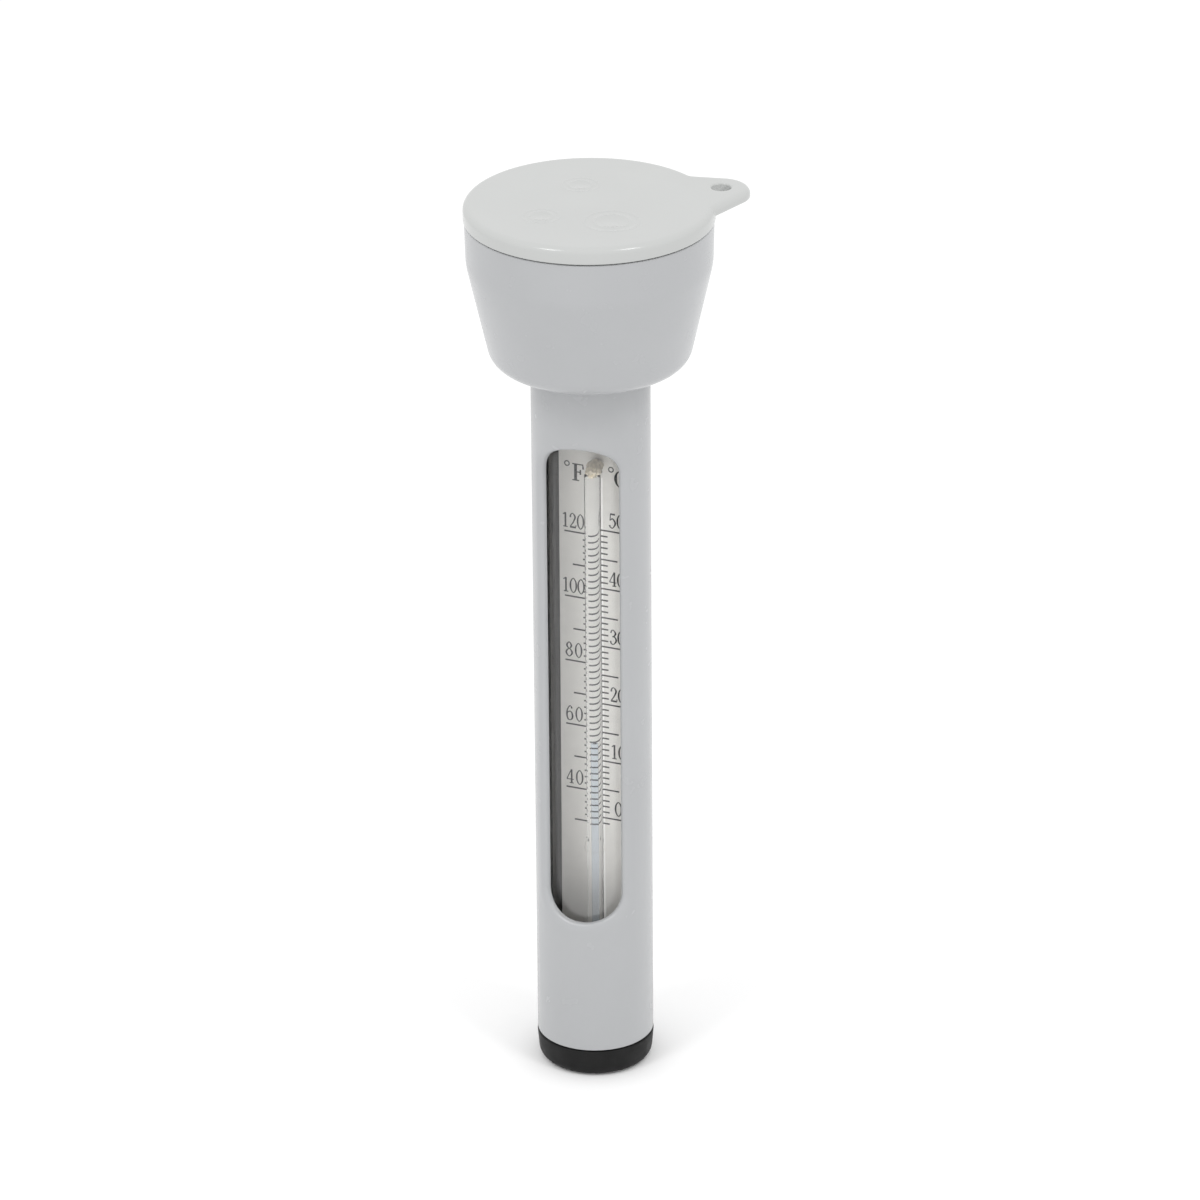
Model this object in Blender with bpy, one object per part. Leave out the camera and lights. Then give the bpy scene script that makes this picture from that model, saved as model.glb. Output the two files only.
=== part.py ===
"""Floating pool thermometer: a hollow float head on a windowed tube, with a sealed thermometer inside.

Run with: blender --background --python part.py

The frame: +Z up along the tube's axis, origin at the centre of the end cap's flat foot, window facing -Y.
Angles named ..._TURN are measured about +Z from the window's direction.
"""

import math

import bmesh
import bpy
from mathutils import Matrix, Vector

MM = 0.001
GAP = 0.3 * MM  # the clearance that every pair of neighbours keeps

# Driving dimensions
OVERALL_HEIGHT = 221.5 * MM
TUBE_RADIUS = 14.0 * MM
TUBE_WALL = 1.9 * MM
LID_RADIUS = 29.2 * MM
CAP_VISIBLE_HEIGHT = 7.0 * MM
WINDOW_BOTTOM = 41.2 * MM
WINDOW_TOP = 164.6 * MM
WINDOW_HALF_ARC = 11.1 * MM  # half the window's width, measured round the tube's outside
WINDOW_END = 7.1 * MM  # the height of each of its elliptic ends
WINDOW_RIM = 2.0 * MM  # width of the rounded rim round the window
WINDOW_RIM_DEPTH = 1.3 * MM
TAB_TURN = math.radians(119.8)  # the cord tab's direction
THERMOMETER_TURN = math.radians(-8.9)  # the way the loose thermometer faces

# Lid
LID_THICKNESS = 3.9 * MM
LID_EDGE_ROUND = 1.0 * MM
LID_RECESS_RADIUS = 24.4 * MM
LID_PLATE = 2.3 * MM
LID_BOTTOM = OVERALL_HEIGHT - LID_THICKNESS
SKIRT_RADIUS = 26.4 * MM
SKIRT_DEPTH = 5.6 * MM
GROOVE_TOP = LID_BOTTOM - 1.4 * MM
RING_GROOVE = 1.2 * MM  # the depth of the groove of each sealing ring
RING_THICKNESS = 1.0 * MM
RING_GROOVE_HEIGHT = RING_THICKNESS + 2 * GAP
TAB_THICKNESS = 2.4 * MM
TAB_BOTTOM = OVERALL_HEIGHT - TAB_THICKNESS
TAB_HOLE_REACH = 31.8 * MM  # from the tube's axis to the centre of the cord hole
TAB_HOLE_RADIUS = 2.3 * MM
TAB_HOLE_CHAMFER = 0.45 * MM
TAB_END_RADIUS = 6.75 * MM
TAB_FILLET = 1.5 * MM  # in the corners where the tab's flanks meet the lid's edge
NEAR_FLANK = 55.1  # degrees from the tab's direction, in which the flank on the window's side faces
FAR_FLANK = 63.3

# Float bowl, a cup whose floor has a blind well that the tube plugs into
BOWL_TOP = LID_BOTTOM - GAP
BOWL_BOTTOM = 181.8 * MM
BOWL_RIM_RADIUS = 28.9 * MM
BOWL_SHOULDER_RADIUS = 28.65 * MM
BOWL_SHOULDER = 207.1 * MM
BOWL_CORNER_ROUND = 5.0 * MM
BOWL_CORNER_CENTRE_RADIUS = 19.0 * MM
BOWL_LEAN = 12.57  # degrees, of the cone that touches the corner's round and meets the shoulder
BOWL_WALL = 1.8 * MM
WELL_RADIUS = TUBE_RADIUS + GAP
WELL_WALL = 1.8 * MM
WELL_ROOF_BOTTOM = 196.3 * MM

# Tube
TUBE_BOTTOM = CAP_VISIBLE_HEIGHT + GAP
TUBE_TOP = WELL_ROOF_BOTTOM - 0.4 * MM
BORE_RADIUS = TUBE_RADIUS - TUBE_WALL

# End cap, a rubber plug with a cup for the ballast
CAP_RADIUS = 14.1 * MM
CAP_FOOT_ROUND = 2.6 * MM
CAP_TAPER = 0.6 * MM
PLUG_RADIUS = 11.6 * MM
PLUG_RIB = 0.25 * MM
PLUG_RIB_HALF = 0.6 * MM
PLUG_RIB_HEIGHTS = (9.4 * MM, 12.4 * MM)
PLUG_TOP = 15.5 * MM
CUP_RADIUS = 10.2 * MM
CUP_FLOOR = 2.4 * MM
BALLAST_HEIGHT = 11.6 * MM

# Sealed thermometer
SLEEVE_RADIUS = 11.3 * MM
SLEEVE_BORE = 10.4 * MM
SLEEVE_BOTTOM = 18.5 * MM
SLEEVE_TOP = 187.0 * MM
STOPPER_FLANGE_RADIUS = 11.7 * MM
STOPPER_FLANGE_HEIGHT = 2.4 * MM
STOPPER_PLUG_LENGTH = 6.5 * MM
CARD_HALF_WIDTH = 9.6 * MM
CARD_THICKNESS = 0.4 * MM
CARD_FRONT = 2.75 * MM  # how far the card's printed face lies behind the tube's axis
CARD_BOTTOM = SLEEVE_BOTTOM + 3.0 * MM
CARD_TOP = SLEEVE_TOP - 3.0 * MM
CARD_SLOT_WIDTH = CARD_THICKNESS + 2 * GAP
STEM_RADIUS = 1.95 * MM
STEM_ACROSS = 1.0 * MM  # the stem's axis, sideways from the card's middle
STEM_FORWARD = 1.75 * MM  # the stem's axis, in front of the tube's axis
STEM_BORE = 0.75 * MM
STEM_TOP = 154.0 * MM
BULB_BOTTOM = SLEEVE_BOTTOM + 0.6 * MM
BULB_TOP = 31.0 * MM
BULB_WALL = 0.5 * MM
BULB_NECK_RADIUS = 1.45 * MM
SCALE_ZERO = 62.3 * MM  # height of the 0 degree C line
SCALE_PER_DEGREE = 1.506 * MM
READING = 14.5  # degrees C at rest
COLUMN_RADIUS = 0.5 * MM
COLUMN_CLEAR = 0.3 * MM
TIE_HEIGHT = 56.1 * MM
TIE_LINE = 0.2 * MM  # the line's radius
TIE_HOLES = {"left": -2.7 * MM, "right": 1.05 * MM}  # sideways from the card's middle
TIE_HOLE_RADIUS = 0.52 * MM
TIE_BEND = 0.5 * MM

TURN_STEPS = 64
COLUMNS = 48  # strips of faces round the tube
PANEL_COLUMNS = 8  # strips on each side of the window's middle that bend round the window
RIM_STEPS = 4
SMALL_STEPS = 24
SMOOTH_ANGLE = math.radians(35)

# Each finish: colour, roughness, metallic, transmission
FINISHES = {
    "pale grey plastic": ((0.66, 0.67, 0.67), 0.35, 0.0, 0.0),
    "grey plastic": ((0.50, 0.51, 0.52), 0.35, 0.0, 0.0),
    "black rubber": ((0.018, 0.018, 0.018), 0.5, 0.0, 0.0),
    "steel": ((0.55, 0.55, 0.56), 0.3, 1.0, 0.0),
    "white foam": ((0.75, 0.75, 0.73), 0.9, 0.0, 0.0),
    "white plastic": ((0.72, 0.72, 0.70), 0.5, 0.0, 0.0),
    "clear plastic": ((0.95, 0.97, 0.97), 0.03, 0.0, 1.0),
    "printed card": ((0.78, 0.77, 0.74), 0.6, 0.0, 0.0),
    "clear glass": ((0.96, 0.97, 0.97), 0.02, 0.0, 1.0),
    "blue spirit": ((0.10, 0.22, 0.62), 0.1, 0.0, 0.0),
    "amber adhesive": ((0.55, 0.40, 0.24), 0.4, 0.0, 0.0),
    "clear nylon": ((0.9, 0.9, 0.88), 0.15, 0.0, 0.8),
}


# ---------------------------------------------------------------- helpers


def clear_scene():
    for obj in list(bpy.data.objects):
        bpy.data.objects.remove(obj)


def surface(name, finish):
    """A Principled material for one object, in one of the finishes."""
    colour, roughness, metallic, transmission = FINISHES[finish]
    material = bpy.data.materials.new(f"{name} {finish}")
    material.use_nodes = True
    shader = material.node_tree.nodes["Principled BSDF"]
    shader.inputs["Base Color"].default_value = (*colour, 1.0)
    shader.inputs["Roughness"].default_value = roughness
    shader.inputs["Metallic"].default_value = metallic
    shader.inputs["Transmission Weight"].default_value = transmission
    material.diffuse_color = (*colour, 1.0)
    return material


def finished(name, bm, finish=None):
    """Turns a bmesh into a named, smooth-shaded object with its faces pointing out."""
    bmesh.ops.recalc_face_normals(bm, faces=bm.faces)
    mesh = bpy.data.meshes.new(name)
    bm.to_mesh(mesh)
    bm.free()
    mesh.shade_smooth()
    mesh.set_sharp_from_angle(angle=SMOOTH_ANGLE)
    if finish:
        mesh.materials.append(surface(name, finish))
    obj = bpy.data.objects.new(name, mesh)
    bpy.context.scene.collection.objects.link(obj)
    return obj


def arc(centre, radius, start, end, steps):
    """Points (r, z) on an arc, its angles in degrees from the +r direction towards +z."""
    points = []
    for i in range(steps + 1):
        angle = math.radians(start + (end - start) * i / steps)
        points.append((centre[0] + radius * math.cos(angle), centre[1] + radius * math.sin(angle)))
    return points


def turned(name, outline, finish=None, steps=TURN_STEPS, centre=(0.0, 0.0)):
    """Spins an outline of (r, z) points about +Z. An outline that starts on the axis ends there too."""
    bm = bmesh.new()
    verts = [bm.verts.new((r, 0.0, z)) for r, z in outline]
    edges = [bm.edges.new(pair) for pair in zip(verts, verts[1:])]
    if outline[0][0] > 0.0:
        edges.append(bm.edges.new((verts[-1], verts[0])))
    bmesh.ops.spin(
        bm, geom=verts + edges, cent=(0, 0, 0), axis=(0, 0, 1), angle=math.tau, steps=steps, use_merge=True
    )
    bmesh.ops.remove_doubles(bm, verts=bm.verts, dist=MM / 1000)
    bmesh.ops.translate(bm, verts=bm.verts, vec=(centre[0], centre[1], 0.0))
    return finished(name, bm, finish)


def block(name, low, high):
    """An axis-aligned box between two corners."""
    bm = bmesh.new()
    size = Vector(high) - Vector(low)
    middle = (Vector(high) + Vector(low)) / 2
    bmesh.ops.create_cube(bm, size=1.0, matrix=Matrix.Translation(middle) @ Matrix.Diagonal((*size, 1.0)))
    return finished(name, bm)


def helper(obj):
    """Marks a cutter, or a shape that is joined into another, so that it isn't a part itself."""
    obj.hide_render = True
    obj.display_type = "WIRE"
    return obj


def combine(target, other, operation):
    """Adds a Boolean to target and keeps the other shape as a helper."""
    modifier = target.modifiers.new(f"{operation.lower()} {other.name}", "BOOLEAN")
    modifier.operation = operation
    modifier.object = helper(other)
    modifier.solver = "EXACT"


def thermometer_point(across, forward, height):
    """A point given in the thermometer's own directions, before the thermometer is turned."""
    return Vector((across, -forward, height))


# ---------------------------------------------------------------- float head


def fillet_turn(flank):
    """How many degrees from the tab's direction the centre of a flank's fillet lies."""
    line = TAB_END_RADIUS + TAB_HOLE_REACH * math.cos(math.radians(flank))
    return flank - math.degrees(math.acos((line + TAB_FILLET) / (LID_RADIUS + TAB_FILLET)))


def tab_outline():
    """The tab's outline, the tab along +X: a fillet, a straight flank, the round end, and the same back."""
    near = fillet_turn(NEAR_FLANK)
    far = fillet_turn(FAR_FLANK)
    near_centre = arc((0.0, 0.0), LID_RADIUS + TAB_FILLET, -near, -near, 1)[0]
    far_centre = arc((0.0, 0.0), LID_RADIUS + TAB_FILLET, far, far, 1)[0]
    return [
        *arc(near_centre, TAB_FILLET, 180 - near, 180 - NEAR_FLANK, 4)[1:],
        *arc((TAB_HOLE_REACH, 0.0), TAB_END_RADIUS, -NEAR_FLANK, FAR_FLANK, 14),
        *arc(far_centre, TAB_FILLET, 180 + FAR_FLANK, 180 + far, 4)[:-1],
    ]


def lid_disc():
    """A thick disc whose upper part widens into the thinner tab, with a round top edge."""
    near = fillet_turn(NEAR_FLANK)
    far = fillet_turn(FAR_FLANK)
    edge = arc((0.0, 0.0), LID_RADIUS, far, 360 - near, 60)
    root = arc((0.0, 0.0), LID_RADIUS, -near, far, 8)[1:-1]
    tab = tab_outline()
    bm = bmesh.new()
    low = [bm.verts.new((x, y, LID_BOTTOM)) for x, y in edge + root]
    edge_under = [bm.verts.new((x, y, TAB_BOTTOM)) for x, y in edge]
    root_under = [bm.verts.new((x, y, TAB_BOTTOM)) for x, y in root]
    tab_under = [bm.verts.new((x, y, TAB_BOTTOM)) for x, y in tab]
    top = [bm.verts.new((x, y, OVERALL_HEIGHT)) for x, y in edge + tab]
    bm.faces.new(low)
    bridge(bm, low, edge_under + root_under)
    bm.faces.new([edge_under[-1], *tab_under, edge_under[0], *reversed(root_under)])
    bridge(bm, edge_under + tab_under, top)
    bm.faces.new(top)
    rim = [edge for edge in bm.edges if all(vert in top for vert in edge.verts)]
    bmesh.ops.bevel(bm, geom=rim, offset=LID_EDGE_ROUND, segments=3, profile=0.5, affect="EDGES")
    return bm


def build_lid():
    """The disc with its cord tab, and under it a skirt with a groove for the gasket."""
    lid = finished("lid", lid_disc(), "pale grey plastic")
    lid.rotation_euler.z = TAB_TURN - math.pi / 2

    skirt_bottom = LID_BOTTOM - SKIRT_DEPTH
    groove_bottom = GROOVE_TOP - RING_GROOVE_HEIGHT
    inside_disc = LID_BOTTOM + 1.0 * MM
    skirt = turned(
        "lid_skirt_shape",
        [
            (SKIRT_RADIUS, inside_disc),
            (SKIRT_RADIUS, GROOVE_TOP),
            (SKIRT_RADIUS - RING_GROOVE, GROOVE_TOP),
            (SKIRT_RADIUS - RING_GROOVE, groove_bottom),
            (SKIRT_RADIUS, groove_bottom),
            (SKIRT_RADIUS, skirt_bottom + 0.6 * MM),
            (SKIRT_RADIUS - 0.6 * MM, skirt_bottom),
            (LID_RECESS_RADIUS - 0.5 * MM, skirt_bottom),
            (LID_RECESS_RADIUS - 0.5 * MM, inside_disc),
        ],
    )
    combine(lid, skirt, "UNION")
    recess = turned(
        "lid_recess_cutter",
        [
            (0.0, skirt_bottom - MM),
            (LID_RECESS_RADIUS, skirt_bottom - MM),
            (LID_RECESS_RADIUS, OVERALL_HEIGHT - LID_PLATE),
            (0.0, OVERALL_HEIGHT - LID_PLATE),
        ],
    )
    combine(lid, recess, "DIFFERENCE")
    hole_x = TAB_HOLE_REACH * math.sin(TAB_TURN)
    hole_y = -TAB_HOLE_REACH * math.cos(TAB_TURN)
    hole = turned(
        "cord_hole_cutter",
        [
            (0.0, TAB_BOTTOM - TAB_HOLE_CHAMFER),
            (TAB_HOLE_RADIUS + 2 * TAB_HOLE_CHAMFER, TAB_BOTTOM - TAB_HOLE_CHAMFER),
            (TAB_HOLE_RADIUS, TAB_BOTTOM + TAB_HOLE_CHAMFER),
            (TAB_HOLE_RADIUS, OVERALL_HEIGHT - TAB_HOLE_CHAMFER),
            (TAB_HOLE_RADIUS + 2 * TAB_HOLE_CHAMFER, OVERALL_HEIGHT + TAB_HOLE_CHAMFER),
            (0.0, OVERALL_HEIGHT + TAB_HOLE_CHAMFER),
        ],
        steps=32,
        centre=(hole_x, hole_y),
    )
    combine(lid, hole, "DIFFERENCE")
    return lid


def build_ring(name, plug_radius, groove_middle):
    """A rubber sealing ring in the groove of a round plug."""
    thickness = RING_THICKNESS / 2
    centre = (plug_radius - RING_GROOVE + GAP + thickness, groove_middle)
    return turned(name, arc(centre, thickness, 0, 324, 9), "black rubber", steps=48)


def bowl_outline():
    """The bowl's section, from the well's roof on the axis, down the inside, and back up the outside."""
    corner = (BOWL_CORNER_CENTRE_RADIUS, BOWL_BOTTOM + BOWL_CORNER_ROUND)
    inner_round = BOWL_CORNER_ROUND - BOWL_WALL
    well_outer = WELL_RADIUS + WELL_WALL
    roof_top = WELL_ROOF_BOTTOM + 2.1 * MM
    floor_top = BOWL_BOTTOM + BOWL_WALL
    inside_rim = BOWL_RIM_RADIUS - BOWL_WALL
    inside_shoulder = BOWL_SHOULDER_RADIUS - BOWL_WALL
    outside = [
        (0.0, WELL_ROOF_BOTTOM),
        (WELL_RADIUS, WELL_ROOF_BOTTOM),
        (WELL_RADIUS, BOWL_BOTTOM),
        *arc(corner, BOWL_CORNER_ROUND, -90, -BOWL_LEAN, 7),
        (BOWL_SHOULDER_RADIUS - 0.45 * MM, BOWL_SHOULDER - 1.4 * MM),
        (BOWL_SHOULDER_RADIUS - 0.05 * MM, BOWL_SHOULDER + 0.6 * MM),
        (BOWL_RIM_RADIUS, BOWL_TOP - 0.3 * MM),
        (BOWL_RIM_RADIUS - 0.3 * MM, BOWL_TOP),
    ]
    inside = [
        (inside_rim, BOWL_TOP),
        (inside_shoulder, BOWL_SHOULDER),
        *reversed(arc(corner, inner_round, -90, -BOWL_LEAN, 4)),
        (well_outer, floor_top),
        (well_outer, roof_top - 1.0 * MM),
        (well_outer - 1.0 * MM, roof_top),
        (0.0, roof_top),
    ]
    return outside + inside


# ---------------------------------------------------------------- tube


def corner_walk():
    """Half the outline of a square of side 2, from (1, 0) over the top to (-1, 0), in equal steps."""
    count = PANEL_COLUMNS
    rise = [(1.0, i / count) for i in range(count)]
    across = [(1.0 - i / count, 1.0) for i in range(2 * count)]
    fall = [(-1.0, 1.0 - i / count) for i in range(count + 1)]
    return rise + across + fall


def window_ring(half_width, squareness):
    """An outline round the window, as (arc, z) on the unrolled tube; squareness 1 has square ends."""
    high = WINDOW_TOP - WINDOW_END
    low = WINDOW_BOTTOM + WINDOW_END
    end = half_width - WINDOW_HALF_ARC + WINDOW_END
    walk = corner_walk()
    top = []
    for i, (square_x, square_z) in enumerate(walk):
        angle = math.pi * i / (len(walk) - 1)
        x = half_width * (math.cos(angle) * (1 - squareness) + square_x * squareness)
        z = end * math.sin(angle) * (1 - squareness) + half_width * square_z * squareness
        top.append((x, z))
    return [(x, high + z) for x, z in top] + [(-x, low - z) for x, z in top]


def tube_skin(bm, rings):
    """One skin of the tube, from rings of (half width, squareness, radius) and plain strips round the back.

    It returns the points of the window's edge, and the points along the skin's lower and upper ends.
    """

    def put(x, z, radius):
        return bm.verts.new((radius * math.sin(x / TUBE_RADIUS), -radius * math.cos(x / TUBE_RADIUS), z))

    rows = [[put(x, z, radius) for x, z in window_ring(half, square)] for half, square, radius in rings]
    count = len(rows[0])
    for near, far in zip(rows, rows[1:]):
        for i in range(count):
            bm.faces.new((near[i], near[(i + 1) % count], far[(i + 1) % count], far[i]))
    border = rows[-1]
    radius = rings[-1][2]
    step = math.tau * TUBE_RADIUS / COLUMNS
    low_end = [put(i * step, TUBE_BOTTOM, radius) for i in range(COLUMNS)]
    high_end = [put(i * step, TUBE_TOP, radius) for i in range(COLUMNS)]
    half = count // 2
    side = PANEL_COLUMNS
    for i in range(-side, side):  # strips above and below the window's panel
        over = border[2 * side - i], border[2 * side - i - 1]
        under = border[half + 2 * side + i], border[half + 2 * side + i + 1]
        bm.faces.new((over[0], over[1], high_end[i + 1], high_end[i]))
        bm.faces.new((under[0], under[1], low_end[i + 1], low_end[i]))
    right = border[half + 3 * side :] + border[: side + 1]
    left = border[3 * side : half + side + 1]
    for i in range(side, COLUMNS - side):  # strips round the back, from one side of the panel to the other
        j = i + 1
        near = [low_end[i], high_end[i]]
        far = [high_end[j % COLUMNS], low_end[j % COLUMNS]]
        if i == side:
            near = [low_end[i], *right, high_end[i]]
        if j == COLUMNS - side:
            far = [high_end[j], *left, low_end[j]]
        bm.faces.new((*near, *far))
    return rows[0], low_end, high_end


def bridge(bm, first, second):
    """Quads between two closed rows of points."""
    for i in range(len(first)):
        j = (i + 1) % len(first)
        bm.faces.new((first[i], first[j], second[j], second[i]))


def build_tube():
    """The tube with its window: two skins joined along the window's edge and at both ends."""
    panel = PANEL_COLUMNS * math.tau * TUBE_RADIUS / COLUMNS
    outer = []
    for i in range(RIM_STEPS + 1):
        share = i / RIM_STEPS
        drop = WINDOW_RIM_DEPTH * (1 - math.sqrt(1 - (1 - share) ** 2))
        outer.append((WINDOW_HALF_ARC + WINDOW_RIM * share, 0.0, TUBE_RADIUS - drop))
    outer.append((panel, 1.0, TUBE_RADIUS))
    inner = [
        (WINDOW_HALF_ARC, 0.0, BORE_RADIUS),
        (WINDOW_HALF_ARC + WINDOW_RIM, 0.0, BORE_RADIUS),
        (panel, 1.0, BORE_RADIUS),
    ]
    bm = bmesh.new()
    for outside, inside in zip(tube_skin(bm, outer), tube_skin(bm, inner)):
        bridge(bm, outside, inside)
    return finished("casing_tube", bm, "grey plastic")


# ---------------------------------------------------------------- end cap


def build_end_cap():
    """A rubber plug with a rounded foot, two sealing ribs and a cup for the ballast."""
    foot = CAP_RADIUS - CAP_TAPER - CAP_FOOT_ROUND
    outline = [(0.0, 0.0)]
    outline += arc((foot, CAP_FOOT_ROUND), CAP_FOOT_ROUND, -90, 0, 5)
    outline += [(CAP_RADIUS, CAP_VISIBLE_HEIGHT - 0.4 * MM), (CAP_RADIUS - 0.3 * MM, CAP_VISIBLE_HEIGHT)]
    outline += [(PLUG_RADIUS, CAP_VISIBLE_HEIGHT)]
    for rib in PLUG_RIB_HEIGHTS:
        outline += [
            (PLUG_RADIUS, rib - PLUG_RIB_HALF),
            (PLUG_RADIUS + PLUG_RIB, rib),
            (PLUG_RADIUS, rib + PLUG_RIB_HALF),
        ]
    outline += [
        (PLUG_RADIUS, PLUG_TOP - 0.6 * MM),
        (PLUG_RADIUS - 0.6 * MM, PLUG_TOP),
        (CUP_RADIUS, PLUG_TOP),
        (CUP_RADIUS, CUP_FLOOR),
        (0.0, CUP_FLOOR),
    ]
    return turned("end_cap", outline, "black rubber")


def build_ballast():
    """A steel slug in the end cap's cup, with chamfered edges."""
    radius = CUP_RADIUS - GAP
    low = CUP_FLOOR + GAP
    high = low + BALLAST_HEIGHT
    edge = 0.6 * MM
    outline = [
        (0.0, low),
        (radius - edge, low),
        (radius, low + edge),
        (radius, high - edge),
        (radius - edge, high),
        (0.0, high),
    ]
    return turned("ballast_weight", outline, "steel", steps=48)


def build_foot_pad():
    """A foam disc on the ballast, which the sealed thermometer rests on."""
    low = CUP_FLOOR + BALLAST_HEIGHT + 2 * GAP
    radius = CUP_RADIUS - GAP
    outline = [(0.0, low), (radius, low), (radius, PLUG_TOP), (0.0, PLUG_TOP)]
    return turned("foot_pad", outline, "white foam", steps=48)


def build_upper_pad():
    """A foam disc under the well's roof, which stops the thermometer from rattling."""
    radius = BORE_RADIUS - GAP
    low = SLEEVE_TOP + GAP + STOPPER_FLANGE_HEIGHT + GAP
    high = WELL_ROOF_BOTTOM - GAP
    outline = [(0.0, low), (radius, low), (radius, high), (0.0, high)]
    return turned("upper_pad", outline, "white foam", steps=48)


# ---------------------------------------------------------------- sealed thermometer


def build_sleeve():
    """The clear tube that keeps the card and the glass dry."""
    outline = [
        (SLEEVE_BORE, SLEEVE_BOTTOM),
        (SLEEVE_RADIUS, SLEEVE_BOTTOM),
        (SLEEVE_RADIUS, SLEEVE_TOP),
        (SLEEVE_BORE, SLEEVE_TOP),
    ]
    return turned("clear_sleeve", outline, "clear plastic")


def stopper_plug_radius():
    return SLEEVE_BORE - GAP


def ring_middle(sleeve_end, outwards):
    """The height of the middle of a stopper's ring groove."""
    return sleeve_end - outwards * (0.8 * MM + RING_GROOVE_HEIGHT / 2)


def build_stopper(name, sleeve_end, outwards, card_end):
    """A push-in stopper: a flange outside the sleeve, a ring groove, and a slot for the card's end."""
    plug_radius = stopper_plug_radius()
    flange_near = sleeve_end + outwards * GAP
    flange_far = flange_near + outwards * STOPPER_FLANGE_HEIGHT
    plug_end = sleeve_end - outwards * STOPPER_PLUG_LENGTH
    groove_near = ring_middle(sleeve_end, outwards) + outwards * RING_GROOVE_HEIGHT / 2
    groove_far = groove_near - outwards * RING_GROOVE_HEIGHT
    edge = 0.5 * MM
    outline = [
        (0.0, flange_far),
        (STOPPER_FLANGE_RADIUS - edge, flange_far),
        (STOPPER_FLANGE_RADIUS, flange_far - outwards * edge),
        (STOPPER_FLANGE_RADIUS, flange_near),
        (plug_radius, flange_near),
        (plug_radius, groove_near),
        (plug_radius - RING_GROOVE, groove_near),
        (plug_radius - RING_GROOVE, groove_far),
        (plug_radius, groove_far),
        (plug_radius, plug_end + outwards * edge),
        (plug_radius - edge, plug_end),
        (0.0, plug_end),
    ]
    stopper = turned(name, outline, "white plastic", steps=48)
    middle = -(CARD_FRONT + CARD_THICKNESS / 2)
    slot_end = card_end + outwards * GAP
    corners = sorted((plug_end - outwards * 2 * MM, slot_end))
    half = CARD_HALF_WIDTH + GAP
    slot = block(
        name + "_slot_cutter",
        (-half, -middle - CARD_SLOT_WIDTH / 2, corners[0]),
        (half, -middle + CARD_SLOT_WIDTH / 2, corners[1]),
    )
    combine(stopper, slot, "DIFFERENCE")
    return stopper, slot


def build_bulb_socket(stopper):
    """The blind hole in the lower stopper that the stem's bulb sits in."""
    radius = STEM_RADIUS + GAP
    low = BULB_BOTTOM - GAP
    high = SLEEVE_BOTTOM + STOPPER_PLUG_LENGTH + 2 * MM
    outline = [(0.0, low), (radius, low), (radius, high), (0.0, high)]
    socket = on_stem_axis("bulb_socket_cutter", outline)
    combine(stopper, socket, "DIFFERENCE")
    return socket


def build_card():
    """The scale card, with two holes for the stem's tie and small corner cuts."""
    cut = 1.0 * MM
    half = CARD_HALF_WIDTH
    plan = [
        (-half + cut, CARD_BOTTOM),
        (half - cut, CARD_BOTTOM),
        (half, CARD_BOTTOM + cut),
        (half, CARD_TOP - cut),
        (half - cut, CARD_TOP),
        (-half + cut, CARD_TOP),
        (-half, CARD_TOP - cut),
        (-half, CARD_BOTTOM + cut),
    ]
    bm = bmesh.new()
    back = -(CARD_FRONT + CARD_THICKNESS)
    face = bm.faces.new([bm.verts.new(thermometer_point(x, back, z)) for x, z in plan])
    moved = bmesh.ops.extrude_face_region(bm, geom=[face])["geom"]
    front_verts = [item for item in moved if isinstance(item, bmesh.types.BMVert)]
    bmesh.ops.translate(bm, verts=front_verts, vec=(0, -CARD_THICKNESS, 0))
    card = finished("scale_card", bm, "printed card")
    cutters = []
    for side, across in TIE_HOLES.items():
        bm = bmesh.new()
        place = thermometer_point(across, -CARD_FRONT, TIE_HEIGHT)
        bmesh.ops.create_cone(
            bm,
            cap_ends=True,
            segments=16,
            radius1=TIE_HOLE_RADIUS,
            radius2=TIE_HOLE_RADIUS,
            depth=6 * MM,
            matrix=Matrix.Translation(place) @ Matrix.Rotation(math.pi / 2, 4, "X"),
        )
        cutter = finished(f"tie_hole_cutter_{side}", bm)
        combine(card, cutter, "DIFFERENCE")
        cutters.append(cutter)
    return card, cutters


def on_stem_axis(name, outline, finish=None, steps=SMALL_STEPS):
    """A turned shape about the glass stem's axis."""
    centre = thermometer_point(STEM_ACROSS, STEM_FORWARD, 0.0)
    return turned(name, outline, finish, steps, (centre.x, centre.y))


def build_stem():
    """The glass stem with its bulb. Its bore is open at the top, where the adhesive closes it."""
    bulb_inner = STEM_RADIUS - BULB_WALL
    neck = BULB_TOP + 1.5 * MM
    outline = [
        (0.0, BULB_BOTTOM),
        (STEM_RADIUS * 0.7, BULB_BOTTOM + 0.4 * MM),
        (STEM_RADIUS, BULB_BOTTOM + 1.6 * MM),
        (STEM_RADIUS, BULB_TOP - 1.6 * MM),
        (BULB_NECK_RADIUS, BULB_TOP),
        (BULB_NECK_RADIUS, neck),
        (STEM_RADIUS, neck + 1.6 * MM),
        (STEM_RADIUS, STEM_TOP - 0.5 * MM),
        (STEM_RADIUS - 0.5 * MM, STEM_TOP),
        (STEM_BORE, STEM_TOP),
        (STEM_BORE, BULB_TOP - 0.6 * MM),
        (bulb_inner, BULB_TOP - 2.2 * MM),
        (bulb_inner, BULB_BOTTOM + 1.8 * MM),
        (bulb_inner * 0.6, BULB_BOTTOM + 0.9 * MM),
        (0.0, BULB_BOTTOM + 0.8 * MM),
    ]
    return on_stem_axis("glass_stem", outline, "clear glass")


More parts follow.
